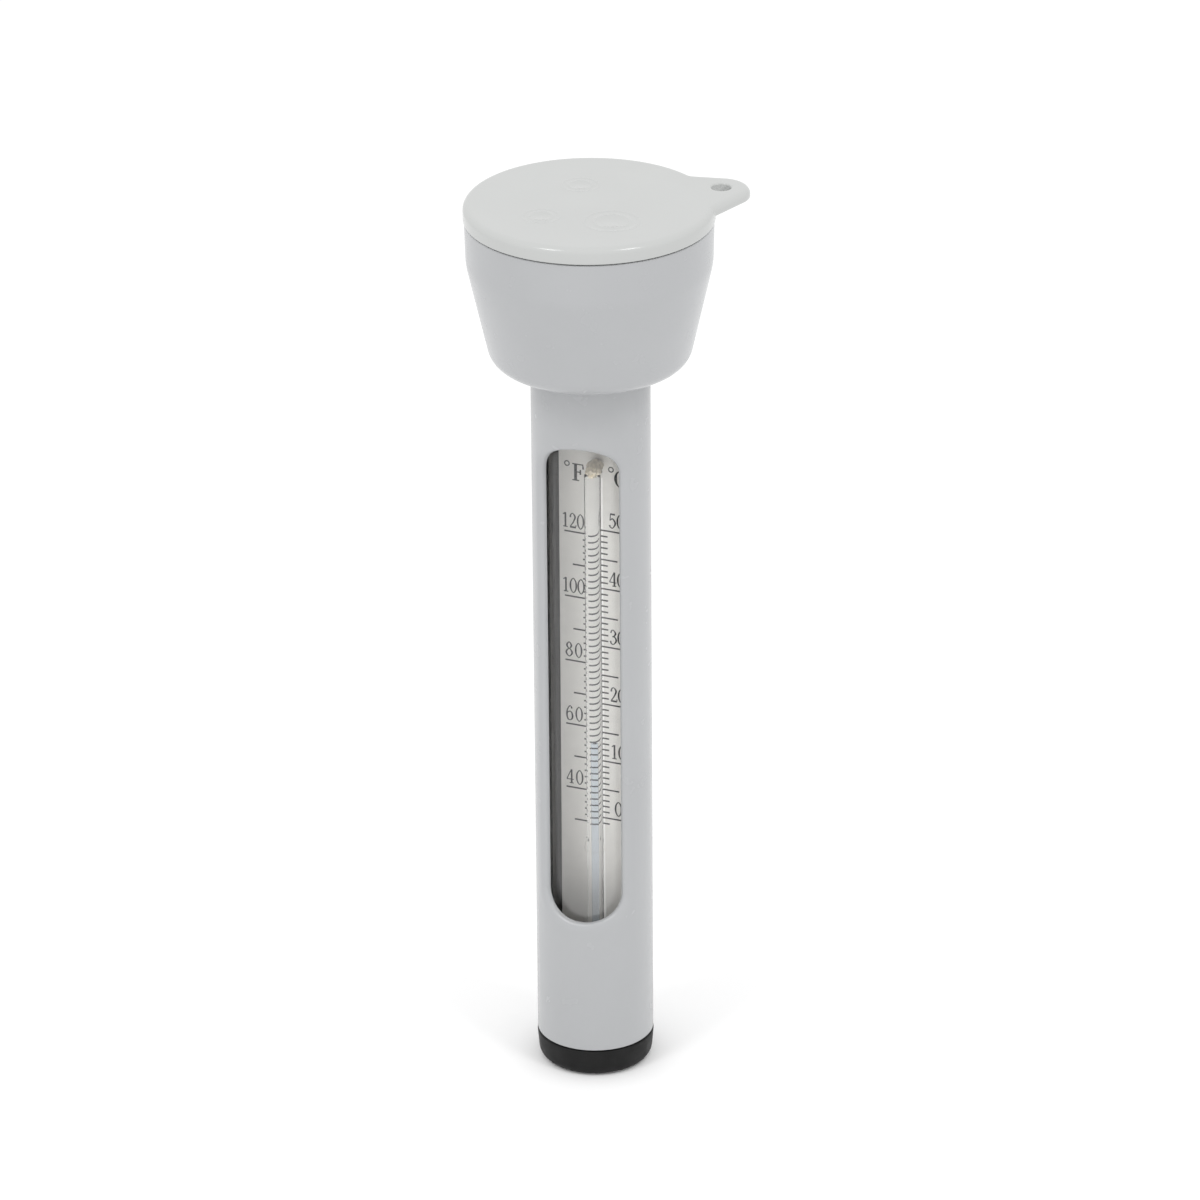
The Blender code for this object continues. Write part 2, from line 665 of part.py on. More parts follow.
def build_bulb_spirit():
    """The spirit that fills the bulb."""
    radius = STEM_RADIUS - BULB_WALL - 0.25 * MM
    low = BULB_BOTTOM + 1.3 * MM
    high = BULB_TOP - 2.6 * MM
    outline = [
        (0.0, low),
        (radius * 0.6, low),
        (radius, low + 0.9 * MM),
        (radius, high),
        (COLUMN_RADIUS, high + 0.6 * MM),
        (0.0, high + 0.6 * MM),
    ]
    return on_stem_axis("bulb_spirit", outline, "blue spirit")


def build_column():
    """The spirit in the stem's bore, from the bulb up to the reading."""
    low = BULB_TOP - 2.0 * MM + COLUMN_CLEAR
    high = SCALE_ZERO + READING * SCALE_PER_DEGREE
    outline = [
        (0.0, low),
        (COLUMN_RADIUS, low),
        (COLUMN_RADIUS, high),
        (COLUMN_RADIUS * 0.6, high - 0.15 * MM),
        (0.0, high - 0.2 * MM),
    ]
    return on_stem_axis("spirit_column", outline, "blue spirit", steps=16)


def build_adhesive():
    """The dab of adhesive over the stem's top end, drawn out backwards to the card."""
    reach = 3.0 * MM
    outline = [
        (0.0, 0.0),
        (reach * 0.9, 0.0),
        (reach, 0.6 * MM),
        (reach * 0.85, 1.5 * MM),
        (reach * 0.45, 2.1 * MM),
        (0.0, 2.3 * MM),
    ]
    dab = turned("stem_adhesive", outline, "amber adhesive", steps=SMALL_STEPS)
    back = -CARD_FRONT + GAP
    dab.location = thermometer_point(STEM_ACROSS, back + reach, STEM_TOP + GAP)
    dab.scale.x = STEM_RADIUS / reach
    return dab


def tie_leg(side):
    """One leg of the tie, from its end behind the card to where it leaves its hole."""
    hole = TIE_HOLES[side]
    inward = TIE_BEND if side == "left" else -TIE_BEND
    middle = sum(TIE_HOLES.values()) / len(TIE_HOLES)
    behind = -(CARD_FRONT + CARD_THICKNESS + GAP + TIE_LINE)
    return [
        (middle - inward, behind),
        (hole + inward, behind),
        (hole, behind + TIE_BEND),
        (hole, TIE_BEND - CARD_FRONT),
    ]


def build_tie():
    """A line looped over the stem and through the card's two holes, its ends bent in behind the card."""
    reach = STEM_RADIUS + GAP + TIE_LINE
    left = tie_leg("left")
    right = tie_leg("right")
    touches = []
    for side, (across, forward) in ((-1, left[-1]), (1, right[-1])):
        across -= STEM_ACROSS
        forward -= STEM_FORWARD
        spread = math.acos(reach / math.hypot(across, forward))
        touches.append(math.degrees(math.atan2(forward, across) % math.tau + side * spread))
    loop = arc((STEM_ACROSS, STEM_FORWARD), reach, touches[0], touches[1] - 360, SMALL_STEPS // 2)
    route = left + loop + list(reversed(right))
    curve = bpy.data.curves.new("stem_tie", "CURVE")
    curve.dimensions = "3D"
    curve.bevel_depth = TIE_LINE
    curve.bevel_resolution = 2
    curve.use_fill_caps = True
    spline = curve.splines.new("POLY")
    spline.points.add(len(route) - 1)
    for point, (across, forward) in zip(spline.points, route):
        point.co = (*thermometer_point(across, forward, TIE_HEIGHT), 1.0)
    curve.materials.append(surface("stem_tie", "clear nylon"))
    tie = bpy.data.objects.new("stem_tie", curve)
    bpy.context.scene.collection.objects.link(tie)
    return tie


def build_thermometer():
    """The sealed thermometer: every piece is made facing the window, then all are turned with one empty."""
    turner = bpy.data.objects.new("thermometer_turn", None)
    bpy.context.scene.collection.objects.link(turner)
    top, top_slot = build_stopper("top_stopper", SLEEVE_TOP, 1, CARD_TOP)
    bottom, bottom_slot = build_stopper("bottom_stopper", SLEEVE_BOTTOM, -1, CARD_BOTTOM)
    card, card_cutters = build_card()
    plug = stopper_plug_radius()
    pieces = [
        build_sleeve(),
        top,
        top_slot,
        bottom,
        bottom_slot,
        build_bulb_socket(bottom),
        build_ring("top_stopper_ring", plug, ring_middle(SLEEVE_TOP, 1)),
        build_ring("bottom_stopper_ring", plug, ring_middle(SLEEVE_BOTTOM, -1)),
        card,
        *card_cutters,
        build_stem(),
        build_bulb_spirit(),
        build_column(),
        build_adhesive(),
        build_tie(),
    ]
    for piece in pieces:
        piece.parent = turner
    turner.rotation_euler.z = THERMOMETER_TURN


def main():
    clear_scene()
    build_lid()
    build_ring("lid_ring", SKIRT_RADIUS, GROOVE_TOP - RING_GROOVE_HEIGHT / 2)
    turned("float_bowl", bowl_outline(), "grey plastic")
    build_tube()
    build_end_cap()
    build_ballast()
    build_foot_pad()
    build_upper_pad()
    build_thermometer()


main()
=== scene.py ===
"""The looks of a floating pool thermometer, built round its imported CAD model.

Lengths are in metres in the model's own frame: +Z up along the tube's axis, origin at the middle of the end
cap's foot, window facing -Y. Heights and radii come from the CAD nodes' boxes where they can.
"""

import math

import bmesh
import bpy
from mathutils import Matrix, Vector, noise


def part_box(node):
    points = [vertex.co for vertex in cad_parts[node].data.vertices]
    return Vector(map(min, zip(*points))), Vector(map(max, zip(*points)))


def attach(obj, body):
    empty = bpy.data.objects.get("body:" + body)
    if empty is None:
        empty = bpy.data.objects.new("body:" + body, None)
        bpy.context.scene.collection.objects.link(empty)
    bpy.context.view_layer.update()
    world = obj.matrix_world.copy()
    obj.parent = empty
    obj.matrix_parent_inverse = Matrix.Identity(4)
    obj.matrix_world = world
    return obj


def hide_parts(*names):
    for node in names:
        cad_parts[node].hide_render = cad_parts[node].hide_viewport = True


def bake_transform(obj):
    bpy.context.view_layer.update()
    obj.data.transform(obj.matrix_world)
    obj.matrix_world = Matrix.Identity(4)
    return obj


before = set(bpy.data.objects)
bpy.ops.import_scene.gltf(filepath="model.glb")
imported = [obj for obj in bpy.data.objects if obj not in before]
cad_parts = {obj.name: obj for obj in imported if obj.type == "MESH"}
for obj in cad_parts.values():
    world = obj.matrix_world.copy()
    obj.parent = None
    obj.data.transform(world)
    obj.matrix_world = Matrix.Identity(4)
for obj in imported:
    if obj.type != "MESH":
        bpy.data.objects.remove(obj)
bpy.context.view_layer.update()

MM = 0.001


def foot_of(node):
    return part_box(node)[0].z


def top_of(node):
    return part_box(node)[1].z


def radius_of(node):
    """The radius of a round node on the tube's axis, from its reach towards +Y."""
    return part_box(node)[1].y


# ---------------------------------------------------------------- dimensions

STEPS = 128  # round the head, the cap and the sleeve
DISC_STEPS = 96  # round the gaskets and the discs
HOLE_STEPS = 64  # round the cord hole and the lid's marks
SMALL_STEPS = 40  # round the stem, the spirit and the adhesive
EDGE_STEPS = 150  # along the lid's edge, from one side of the tab to the other
ROOT_STEPS = 20  # along the lid's edge under the tab
TAB_STEPS = 36  # round the tab's end
FILLET_STEPS = 10  # along each fillet beside the tab
SHARP_ANGLE = math.radians(40)  # faces that meet more sharply than this keep a crisp edge
ON_AXIS = MM / 1000  # a smaller radius counts as a point on the axis
SLACK = 0.01 * MM  # for rounding, where radii are compared

LID_RADIUS = radius_of("lid")
LID_THICKNESS = 3.9 * MM
MARK_RISE = 0.06 * MM  # the moulded rings on the lid stand this proud
LID_TOP = top_of("lid") - MARK_RISE
LID_BOTTOM = top_of("lid") - LID_THICKNESS
LID_EDGE_ROUND = 1.6 * MM
LID_FOOT_ROUND = 0.35 * MM
LID_PLATE = 2.3 * MM  # how thick the lid is over its recess
SKIRT_RADIUS = 26.4 * MM
SKIRT_FOOT = foot_of("lid")
RECESS_RADIUS = 24.4 * MM
RING_GROOVE = 1.2 * MM  # the depth of the sealing ring's groove
RING_THICKNESS = 1.0 * MM
GROOVE_DROP = 1.4 * MM  # from the lid's underside down to the groove
GROOVE_ROOM = 0.6 * MM  # the groove is this much taller than the ring is thick
TAB_TURN = math.radians(119.8)  # from the window's direction towards +X
TAB_BOTTOM = top_of("lid") - 2.4 * MM
TAB_HOLE_REACH = 31.8 * MM
TAB_HOLE_RADIUS = 2.3 * MM
TAB_HOLE_LIP = 0.45 * MM
TAB_END_RADIUS = 6.73 * MM
TAB_LOWER_ROUND = 0.3 * MM
TAB_ROUND_RUN = 8  # points over which the lower round grows to its full size along each flank
TAB_FILLET = 1.5 * MM  # in the corners where the tab's flanks meet the lid's edge
NEAR_FLANK = math.radians(55.1)  # from the tab's direction to the way the flank on the window's side faces
FAR_FLANK = math.radians(63.3)
LID_MARKS = ((-4.5, 10.0, 4.3), (-8.7, -10.9, 4.3), (7.9, -10.4, 6.4))  # x, y and radius in millimetres
MARK_INNER = 0.63  # the inner ring's radius as a share of the outer one's
MARK_HALF_WIDTH = 0.15 * MM
MARK_SLOPE = 0.15 * MM

BOWL_RIM_RADIUS = radius_of("float_bowl")
BOWL_BOTTOM = foot_of("float_bowl")
BOWL_TOP = top_of("float_bowl")
BOWL_SHOULDER = 207.1 * MM
BOWL_SHOULDER_RADIUS = 28.65 * MM
BOWL_SHOULDER_ROUND = 16.0 * MM
BOWL_INNER_SHOULDER_ROUND = 14.0 * MM
BOWL_FOOT_RADIUS = 23.0 * MM  # where the cone's line meets the bottom
BOWL_FOOT_ROUND = 5.0 * MM
BOWL_INNER_FOOT_ROUND = 3.2 * MM
BOWL_WALL = 1.8 * MM
WELL_ROOF = 196.3 * MM
WELL_ROOF_THICKNESS = 2.1 * MM
WELL_CLEAR = 0.3 * MM  # between the tube and the well's wall

TUBE_RADIUS = radius_of("casing_tube")
TUBE_BOTTOM = foot_of("casing_tube")
TUBE_TOP = top_of("casing_tube")
TUBE_WALL = 1.9 * MM
TUBE_END_ROUND = 0.3 * MM
BORE_RADIUS = TUBE_RADIUS - TUBE_WALL
WINDOW_BOTTOM = 41.2 * MM
WINDOW_TOP = 164.6 * MM
WINDOW_HALF_ARC = 11.1 * MM
WINDOW_END = 7.1 * MM  # the height of each of its elliptic ends
WINDOW_RIM = 2.0 * MM
WINDOW_RIM_DEPTH = 1.3 * MM
WINDOW_INNER_ROUND = 0.25 * MM  # where the window's edge meets the bore
COLUMNS = 96  # strips of faces round the tube
PANEL_COLUMNS = 16  # strips on each side of the window's middle that bend round the window
PANEL_SHARES = (1.0, 0.6, 0.3, 0.1)  # of the way from the window's rim to the panel's border

CAP_RADIUS = radius_of("end_cap")
CAP_TOP = 7.0 * MM
CAP_FOOT_INSET = 0.6 * MM  # the cap's side leans in by this much down to the foot
CAP_FOOT_ROUND = 2.6 * MM
PLUG_RADIUS = 11.6 * MM
PLUG_TOP = top_of("end_cap")
CUP_RADIUS = 10.2 * MM
CUP_FLOOR = 2.4 * MM
RIB_HEIGHTS = (9.4 * MM, 12.4 * MM)
RIB_HALF_WIDTH = 0.6 * MM
RIB_RISE = 0.25 * MM

SLEEVE_RADIUS = 11.3 * MM
SLEEVE_BORE = 10.4 * MM
SLEEVE_ROUND = 0.2 * MM
THERMOMETER_TURN = Matrix.Rotation(math.radians(-8.9), 4, "Z")
CARD_FACE = 2.75 * MM  # how far the printed face lies behind the tube's axis
STEM_ACROSS = 1.0 * MM
STEM_FORWARD = 1.75 * MM
STEM_RADIUS = 1.95 * MM
STEM_NECK_RADIUS = 1.45 * MM
BULB_TOP = 31.0 * MM
NECK_LENGTH = 1.5 * MM
NECK_TAPER = 1.6 * MM  # the height over which the stem widens on each side of its neck
SPIRIT_RADIUS = 0.62 * MM
SPIRIT_BANDS = 24  # bands of faces up the thread, which stretches with the reading
MENISCUS = ((0.6, 0.15 * MM), (0.0, 0.2 * MM))  # a share of the radius, how far below the edge it lies there
ADHESIVE_DROP = 1.35 * MM  # how far the dab hangs down below the CAD one
ADHESIVE_FRONT = 0.9 * MM  # how far it reaches in front of the CAD one
ADHESIVE_WIDTH = 0.9  # its width as a share of the CAD one's
LUMP_HEIGHT = 0.45  # the largest share by which its lumps stand out or lie in
LUMP_COUNT = 5.0  # how many lumps there are across it, about

SCALE_ZERO = 62.3 * MM  # height of the 0 degree C line
SCALE_PER_DEGREE = 1.506 * MM
INK_GAP = 0.02 * MM  # between the card's face and the ink, so that the two don't touch
INK_THICKNESS = 0.03 * MM
LINE_WIDTH = 0.36 * MM
FAHRENHEIT_LINES = ((20, -8.2 * MM), (10, -6.1 * MM), (2, -3.45 * MM))  # degrees apart, where a line ends
CELSIUS_LINES = ((10, 8.2 * MM), (5, 5.4 * MM), (1, 2.9 * MM))
CELSIUS_START = 1.1 * MM  # where the Celsius lines begin
FAHRENHEIT_MIDDLE = -6.0 * MM  # on which the numbers are centred
CELSIUS_MIDDLE = 5.2 * MM
FIGURE_HEIGHT = 3.7 * MM
FIGURE_PITCH = 2.0 * MM
WIDE_PITCH = 2.45 * MM  # of the Fahrenheit numbers with two figures
ABOVE_LINE = 1.0 * MM  # how far a number stands above its line
LETTER_HEIGHT = 4.4 * MM
LETTER_FOOT = 149.2 * MM
UNIT_MARKS = (("F", -6.1, -7.4, 153.3), ("C", 4.8, 3.9, 153.5))  # letter, its left, its ring's centre; mm
DEGREE_RADIUS = 0.6 * MM  # of the small ring in a unit mark
DEGREE_WIDTH = 0.28 * MM

STRIPE_ACROSS = 1.5 * MM
STRIPE_WIDTH = 0.4 * MM
STRIPE_FOOT = foot_of("scale_card") + 8 * MM
STRIPE_TOP = 151.0 * MM
STRIPE_BACK = 0.005 * MM  # both in front of the card's face, and behind the ink of the scale
STRIPE_FACE = 0.012 * MM

FLOOR_HALF = 4.0  # half of the floor's side
SOFTBOX_WIDTH = 0.3
SOFTBOX_DEPTH = 0.4
SOFTBOX_RADIANCE = 9.0
SOFTBOX_SIDE = 0.64  # to the left and right of the lid's centre, as the camera sees it
SOFTBOX_AWAY = -0.62  # below 0 is nearer the camera than the lid
SOFTBOX_HEIGHT = 1.08  # above the lid

CAMERA_SWING = math.radians(13.8)  # how far the camera stands to the right of the window


# ---------------------------------------------------------------- materials


def new_material(name, colour, roughness, **sockets):
    """A Principled material; sockets are set by their names, with underscores for spaces."""
    material = bpy.data.materials.new(name)
    material.use_nodes = True
    shader = material.node_tree.nodes["Principled BSDF"]
    shader.inputs["Base Color"].default_value = (*colour, 1.0)
    shader.inputs["Roughness"].default_value = roughness
    for socket, value in sockets.items():
        shader.inputs[socket.replace("_", " ")].default_value = value
    return material


NOISE_LOW = 0.3  # most of the noise lies between these two
NOISE_HIGH = 0.7


def noise_of(material, scale, detail=3.0):
    """Noise in the piece's own coordinates, features about 1 / scale metres across."""
    tree = material.node_tree
    place = tree.nodes.new("ShaderNodeTexCoord")
    texture = tree.nodes.new("ShaderNodeTexNoise")
    texture.inputs["Scale"].default_value = scale
    texture.inputs["Detail"].default_value = detail
    tree.links.new(place.outputs["Object"], texture.inputs["Vector"])
    return texture.outputs["Fac"]


def mottle(material, colour, spread, scale):
    """Lets the base colour drift a little lighter and darker, as pigment does in a moulding."""
    tree = material.node_tree
    ramp = tree.nodes.new("ShaderNodeValToRGB")
    ramp.color_ramp.elements[0].position = NOISE_LOW
    ramp.color_ramp.elements[1].position = NOISE_HIGH
    ramp.color_ramp.elements[0].color = (*[part * (1 - spread) for part in colour], 1.0)
    ramp.color_ramp.elements[1].color = (*[part * (1 + spread) for part in colour], 1.0)
    tree.links.new(noise_of(material, scale), ramp.inputs["Fac"])
    tree.links.new(ramp.outputs["Color"], tree.nodes["Principled BSDF"].inputs["Base Color"])


def vary_roughness(material, low, high, scale):
    """Lets the roughness drift between low and high."""
    tree = material.node_tree
    span = tree.nodes.new("ShaderNodeMapRange")
    span.inputs["From Min"].default_value = NOISE_LOW
    span.inputs["From Max"].default_value = NOISE_HIGH
    span.inputs["To Min"].default_value = low
    span.inputs["To Max"].default_value = high
    tree.links.new(noise_of(material, scale), span.inputs["Value"])
    tree.links.new(span.outputs["Result"], tree.nodes["Principled BSDF"].inputs["Roughness"])


def grain(material, scale, depth, detail=3.0):
    """A bump of the given depth in metres."""
    tree = material.node_tree
    bump = tree.nodes.new("ShaderNodeBump")
    bump.inputs["Distance"].default_value = depth
    bump.inputs["Strength"].default_value = 1.0
    tree.links.new(noise_of(material, scale, detail), bump.inputs["Height"])
    tree.links.new(bump.outputs["Normal"], tree.nodes["Principled BSDF"].inputs["Normal"])


def lets_light_through(material):
    """Shadow and diffuse rays pass straight through, so that what is behind the glass is lit."""
    tree = material.node_tree
    shader = tree.nodes["Principled BSDF"]
    path = tree.nodes.new("ShaderNodeLightPath")
    either = tree.nodes.new("ShaderNodeMath")
    either.operation = "MAXIMUM"
    open_way = tree.nodes.new("ShaderNodeBsdfTransparent")
    mix = tree.nodes.new("ShaderNodeMixShader")
    tree.links.new(path.outputs["Is Shadow Ray"], either.inputs[0])
    tree.links.new(path.outputs["Is Diffuse Ray"], either.inputs[1])
    tree.links.new(either.outputs["Value"], mix.inputs["Fac"])
    tree.links.new(shader.outputs["BSDF"], mix.inputs[1])
    tree.links.new(open_way.outputs["BSDF"], mix.inputs[2])
    tree.links.new(mix.outputs["Shader"], tree.nodes["Material Output"].inputs["Surface"])


def moulded_plastic(name, colour, gloss):
    """Smooth moulded plastic with faint pigment drift and uneven gloss."""
    material = new_material(name, colour, gloss, IOR=1.46)
    mottle(material, colour, spread=0.012, scale=60.0)
    vary_roughness(material, low=gloss - 0.03, high=gloss + 0.04, scale=200.0)
    return material


def rubber(name, colour, scale):
    """Matt rubber with a fine grain of the given scale."""
    material = new_material(name, colour, roughness=0.5, Specular_IOR_Level=0.2)
    mottle(material, colour, spread=0.25, scale=180.0)
    vary_roughness(material, low=0.42, high=0.6, scale=300.0)
    grain(material, scale, depth=0.01 * MM)
    return material


def foam(name, colour):
    material = new_material(name, colour, roughness=0.9)
    mottle(material, colour, spread=0.06, scale=900.0)
    grain(material, scale=1600.0, depth=0.12 * MM, detail=5.0)
    return material


def white_plastic(name, colour):
    material = new_material(name, colour, roughness=0.5)
    mottle(material, colour, spread=0.03, scale=150.0)
    grain(material, scale=1500.0, depth=0.01 * MM)
    return material


def turned_steel(name, colour):
    material = new_material(name, colour, roughness=0.3, Metallic=1.0, Anisotropic=0.5)
    mottle(material, colour, spread=0.08, scale=500.0)
    vary_roughness(material, low=0.22, high=0.42, scale=700.0)
    grain(material, scale=2500.0, depth=0.004 * MM)
    return material


def clear_material(name, colour, ior, depth, roughness=0.0, **sockets):
    """Clear glass or plastic with a faint waviness of the given depth."""
    material = new_material(name, colour, roughness, IOR=ior, Transmission_Weight=1.0, **sockets)
    grain(material, scale=90.0, depth=depth, detail=1.0)
    lets_light_through(material)
    return material


def coated_card(name, colour):
    material = new_material(name, colour, roughness=0.55)
    mottle(material, colour, spread=0.025, scale=400.0)
    grain(material, scale=2600.0, depth=0.006 * MM, detail=4.0)
    return material


def bright_stripe(name, colour, glow):
    """White with a faint glow of its own, standing in for the line of light the stem throws on the card."""
    material = coated_card(name, colour)
    shader = material.node_tree.nodes["Principled BSDF"]
    shader.inputs["Emission Color"].default_value = (*colour, 1.0)
    shader.inputs["Emission Strength"].default_value = glow
    return material


def printing_ink(name, colour):
    """Dark ink that is a little uneven."""
    material = new_material(name, colour, roughness=0.5)
    mottle(material, colour, spread=0.3, scale=1800.0)
    return material


def set_adhesive(name, colour):
    """Opaque set adhesive, its colour drifting between two tans, with a dimpled skin."""
    material = new_material(name, colour, roughness=0.25)
    mottle(material, colour, spread=0.12, scale=1200.0)
    grain(material, scale=700.0, depth=0.15 * MM, detail=1.0)
    return material


LID_PLASTIC = moulded_plastic("pale moulded plastic", (0.488, 0.497, 0.490), gloss=0.16)
BODY_PLASTIC = moulded_plastic("grey moulded plastic", (0.412, 0.419, 0.428), gloss=0.24)
# Painted shade: the bore is the same grey plastic as the tube, made near black here to stand for the shade
# inside it.
BORE_PAINTED_SHADE = moulded_plastic("grey bore plastic darkened as painted shade", (0.11, 0.11, 0.112), gloss=0.4)
CAP_RUBBER = rubber("black rubber", (0.008, 0.008, 0.008), scale=1800.0)
RING_RUBBER = rubber("ring rubber", (0.02, 0.02, 0.02), scale=2600.0)
FOAM = foam("white foam", (0.75, 0.75, 0.73))
STOPPER_PLASTIC = white_plastic("white plastic", (0.72, 0.72, 0.70))
STEEL = turned_steel("turned steel", (0.55, 0.55, 0.56))
CARD = coated_card("coated card", (0.86, 0.845, 0.81))
# Painted highlight: a faintly glowing white stripe stands for the line of light the stem throws on the card;
# it is not print.
PAINTED_LIGHT_STRIPE = bright_stripe("painted light stripe", (0.93, 0.92, 0.90), glow=0.13)
INK = printing_ink("printing ink", (0.035, 0.035, 0.037))
COAT = {"Coat_Weight": 1.0, "Coat_IOR": 1.49, "Coat_Roughness": 0.02}
SLEEVE_PLASTIC = clear_material("clear plastic", (0.99, 0.99, 0.985), ior=1.08, depth=0.002 * MM, **COAT)
STEM_GLASS = clear_material("stem glass", (0.98, 0.985, 0.985), ior=1.38, depth=0.001 * MM)
SPIRIT = clear_material("blue spirit", (0.84, 0.91, 1.0), ior=0.955, depth=0.0)
BULB_SPIRIT = clear_material("blue spirit in the bulb", (0.12, 0.25, 0.75), ior=1.05, depth=0.0)
ADHESIVE = set_adhesive("tan adhesive", (0.84, 0.76, 0.62))
NYLON = clear_material("clear nylon", (0.98, 0.98, 0.97), ior=1.04, depth=0.0)


# ---------------------------------------------------------------- shapes


def piece(name, bm, material, body, slot, *nodes):
    """Makes a smooth-shaded piece of a bmesh. It rides on a body and stands for the CAD nodes."""
    bmesh.ops.recalc_face_normals(bm, faces=bm.faces)
    mesh = bpy.data.meshes.new(name)
    bm.to_mesh(mesh)
    bm.free()
    mesh.shade_smooth()
    mesh.set_sharp_from_angle(angle=SHARP_ANGLE)
    mesh.materials.append(material)
    obj = bpy.data.objects.new(name, mesh)
    bpy.context.scene.collection.objects.link(obj)
    if nodes:
        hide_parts(*nodes)
    if body:
        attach(obj, body)
    return obj


def rounded(corners, steps=6):
    """Points along an outline of (r, z, rounding radius) corners, each rounding an arc."""
    points = []
    for i, (r, z, radius) in enumerate(corners):
        if radius == 0:
            points.append((r, z))
            continue
        here = Vector((r, z))
        back = (Vector(corners[i - 1][:2]) - here).normalized()
        on = (Vector(corners[(i + 1) % len(corners)][:2]) - here).normalized()
        half = back.angle(on) / 2
        centre = here + (back + on).normalized() * radius / math.sin(half)
        start = here + back * radius / math.tan(half) - centre
        end = here + on * radius / math.tan(half) - centre
        sweep = start.angle_signed(end)
        for step in range(steps + 1):
            turned = Matrix.Rotation(-sweep * step / steps, 2) @ start
            points.append(tuple(centre + turned))
    return points


def circle(bm, radius, z, steps=STEPS, centre=(0.0, 0.0)):
    """A ring of points, or a single one on the axis."""
    if radius < ON_AXIS:
        return [bm.verts.new((centre[0], centre[1], z))]
    points = []
    for i in range(steps):
        angle = math.tau * i / steps
        x = centre[0] + radius * math.cos(angle)
        y = centre[1] + radius * math.sin(angle)
        points.append(bm.verts.new((x, y, z)))
    return points


def join_loops(bm, loops, closed=False):
    """Faces between each loop of points and the next, where a loop may be a single point."""
    pairs = list(zip(loops, loops[1:]))
    if closed:
        pairs.append((loops[-1], loops[0]))
    for near, far in pairs:
        count = max(len(near), len(far))
        for i in range(count):
            j = (i + 1) % count
            corners = (near[i % len(near)], near[j % len(near)], far[j % len(far)], far[i % len(far)])
            bm.faces.new(list(dict.fromkeys(corners)))


def lathe(outline, steps=STEPS, centre=(0.0, 0.0)):
    """A bmesh turned from an outline, which either starts and ends on the axis or closes on itself."""
    bm = bmesh.new()
    loops = [circle(bm, r, z, steps, centre) for r, z in outline]
    join_loops(bm, loops, closed=len(loops[0]) > 1)
    return bm


def rim_edges(bm, loop):
    pairs = [(loop[i - 1], loop[i]) for i in range(len(loop))]
    return [bm.edges.get(pair) or bm.edges.new(pair) for pair in pairs]


def arc(centre, radius, start, end, steps):
    """Points on an arc, angles in radians."""
    points = []
    for i in range(steps + 1):
        angle = start + (end - start) * i / steps
        points.append((centre[0] + radius * math.cos(angle), centre[1] + radius * math.sin(angle)))
    return points


# ---------------------------------------------------------------- float head


def fillet_turn(flank):
    """The angle from the tab's direction to the centre of a flank's fillet."""
    line = TAB_END_RADIUS + TAB_HOLE_REACH * math.cos(flank)
    return flank - math.acos((line + TAB_FILLET) / (LID_RADIUS + TAB_FILLET))


def tab_plan(inset):
    """The tab's outline, the tab along +X, drawn in by inset: fillet, straight flank, round end, and back."""
    near = fillet_turn(NEAR_FLANK)
    far = fillet_turn(FAR_FLANK)
    near_centre = arc((0.0, 0.0), LID_RADIUS + TAB_FILLET, -near, -near, 1)[0]
    far_centre = arc((0.0, 0.0), LID_RADIUS + TAB_FILLET, far, far, 1)[0]
    return [
        *arc(near_centre, TAB_FILLET + inset, math.pi - near, math.pi - NEAR_FLANK, FILLET_STEPS)[1:],
        *arc((TAB_HOLE_REACH, 0.0), TAB_END_RADIUS - inset, -NEAR_FLANK, FAR_FLANK, TAB_STEPS),
        *arc(far_centre, TAB_FILLET + inset, math.pi + FAR_FLANK, math.pi + far, FILLET_STEPS)[:-1],
    ]


def edge_plan(inset):
    """The lid's round edge, from one side of the tab to the other."""
    start = fillet_turn(FAR_FLANK)
    end = math.tau - fillet_turn(NEAR_FLANK)
    return arc((0.0, 0.0), LID_RADIUS - inset, start, end, EDGE_STEPS)


def root_plan(inset):
    """The lid's round edge under the tab."""
    start = -fillet_turn(NEAR_FLANK)
    end = fillet_turn(FAR_FLANK)
    return arc((0.0, 0.0), LID_RADIUS - inset, start, end, ROOT_STEPS)[1:-1]


def points_at(bm, plan, z):
    return [bm.verts.new((x, y, z)) for x, y in plan]


def lid_body(bm):
    """The sides of the lid and its tab. Returns the loops round the top, the tab's underside and the foot."""
    flat = 0.6 * MM
    side = rounded(
        [
            (LID_EDGE_ROUND + flat, LID_TOP, 0),
            (0.0, LID_TOP, LID_EDGE_ROUND),
            (0.0, TAB_BOTTOM + TAB_LOWER_ROUND, 0),
        ],
        steps=8,
    )
    loops = [points_at(bm, edge_plan(inset) + tab_plan(inset), z) for inset, z in side]
    full = tab_plan(0.0)
    drawn_in = tab_plan(TAB_LOWER_ROUND)
    edge = edge_plan(0.0)
    steps = 5
    for i in range(1, steps + 1):
        angle = math.pi / 2 * i / steps
        z = TAB_BOTTOM + TAB_LOWER_ROUND * (1 - math.sin(angle))
        plan = list(edge)
        for k, (outer, inner) in enumerate(zip(full, drawn_in)):
            # the round starts from nothing where the flank leaves the lid's edge
            grown = min(1.0, (k + 1) / TAB_ROUND_RUN, (len(full) - k) / TAB_ROUND_RUN)
            share = grown * (1 - math.cos(angle))
            plan.append(tuple(Vector(outer).lerp(Vector(inner), share)))
        loops.append(points_at(bm, plan, z))
    join_loops(bm, loops)
    edge_under = loops[-1][: len(edge)]
    tab_under = loops[-1][len(edge) :]
    root_under = points_at(bm, root_plan(0.0), TAB_BOTTOM)
    corners = [(0.0, TAB_BOTTOM, 0), (0.0, LID_BOTTOM, LID_FOOT_ROUND), (MM, LID_BOTTOM, 0)]
    lower = rounded(corners, steps=6)[1:]
    foot = [edge_under + root_under]
    foot += [points_at(bm, edge_plan(inset) + root_plan(inset), z) for inset, z in lower]
    join_loops(bm, foot)
    underside = [edge_under[-1], *tab_under, edge_under[0], *reversed(root_under)]
    return loops[0], underside, foot[-1]


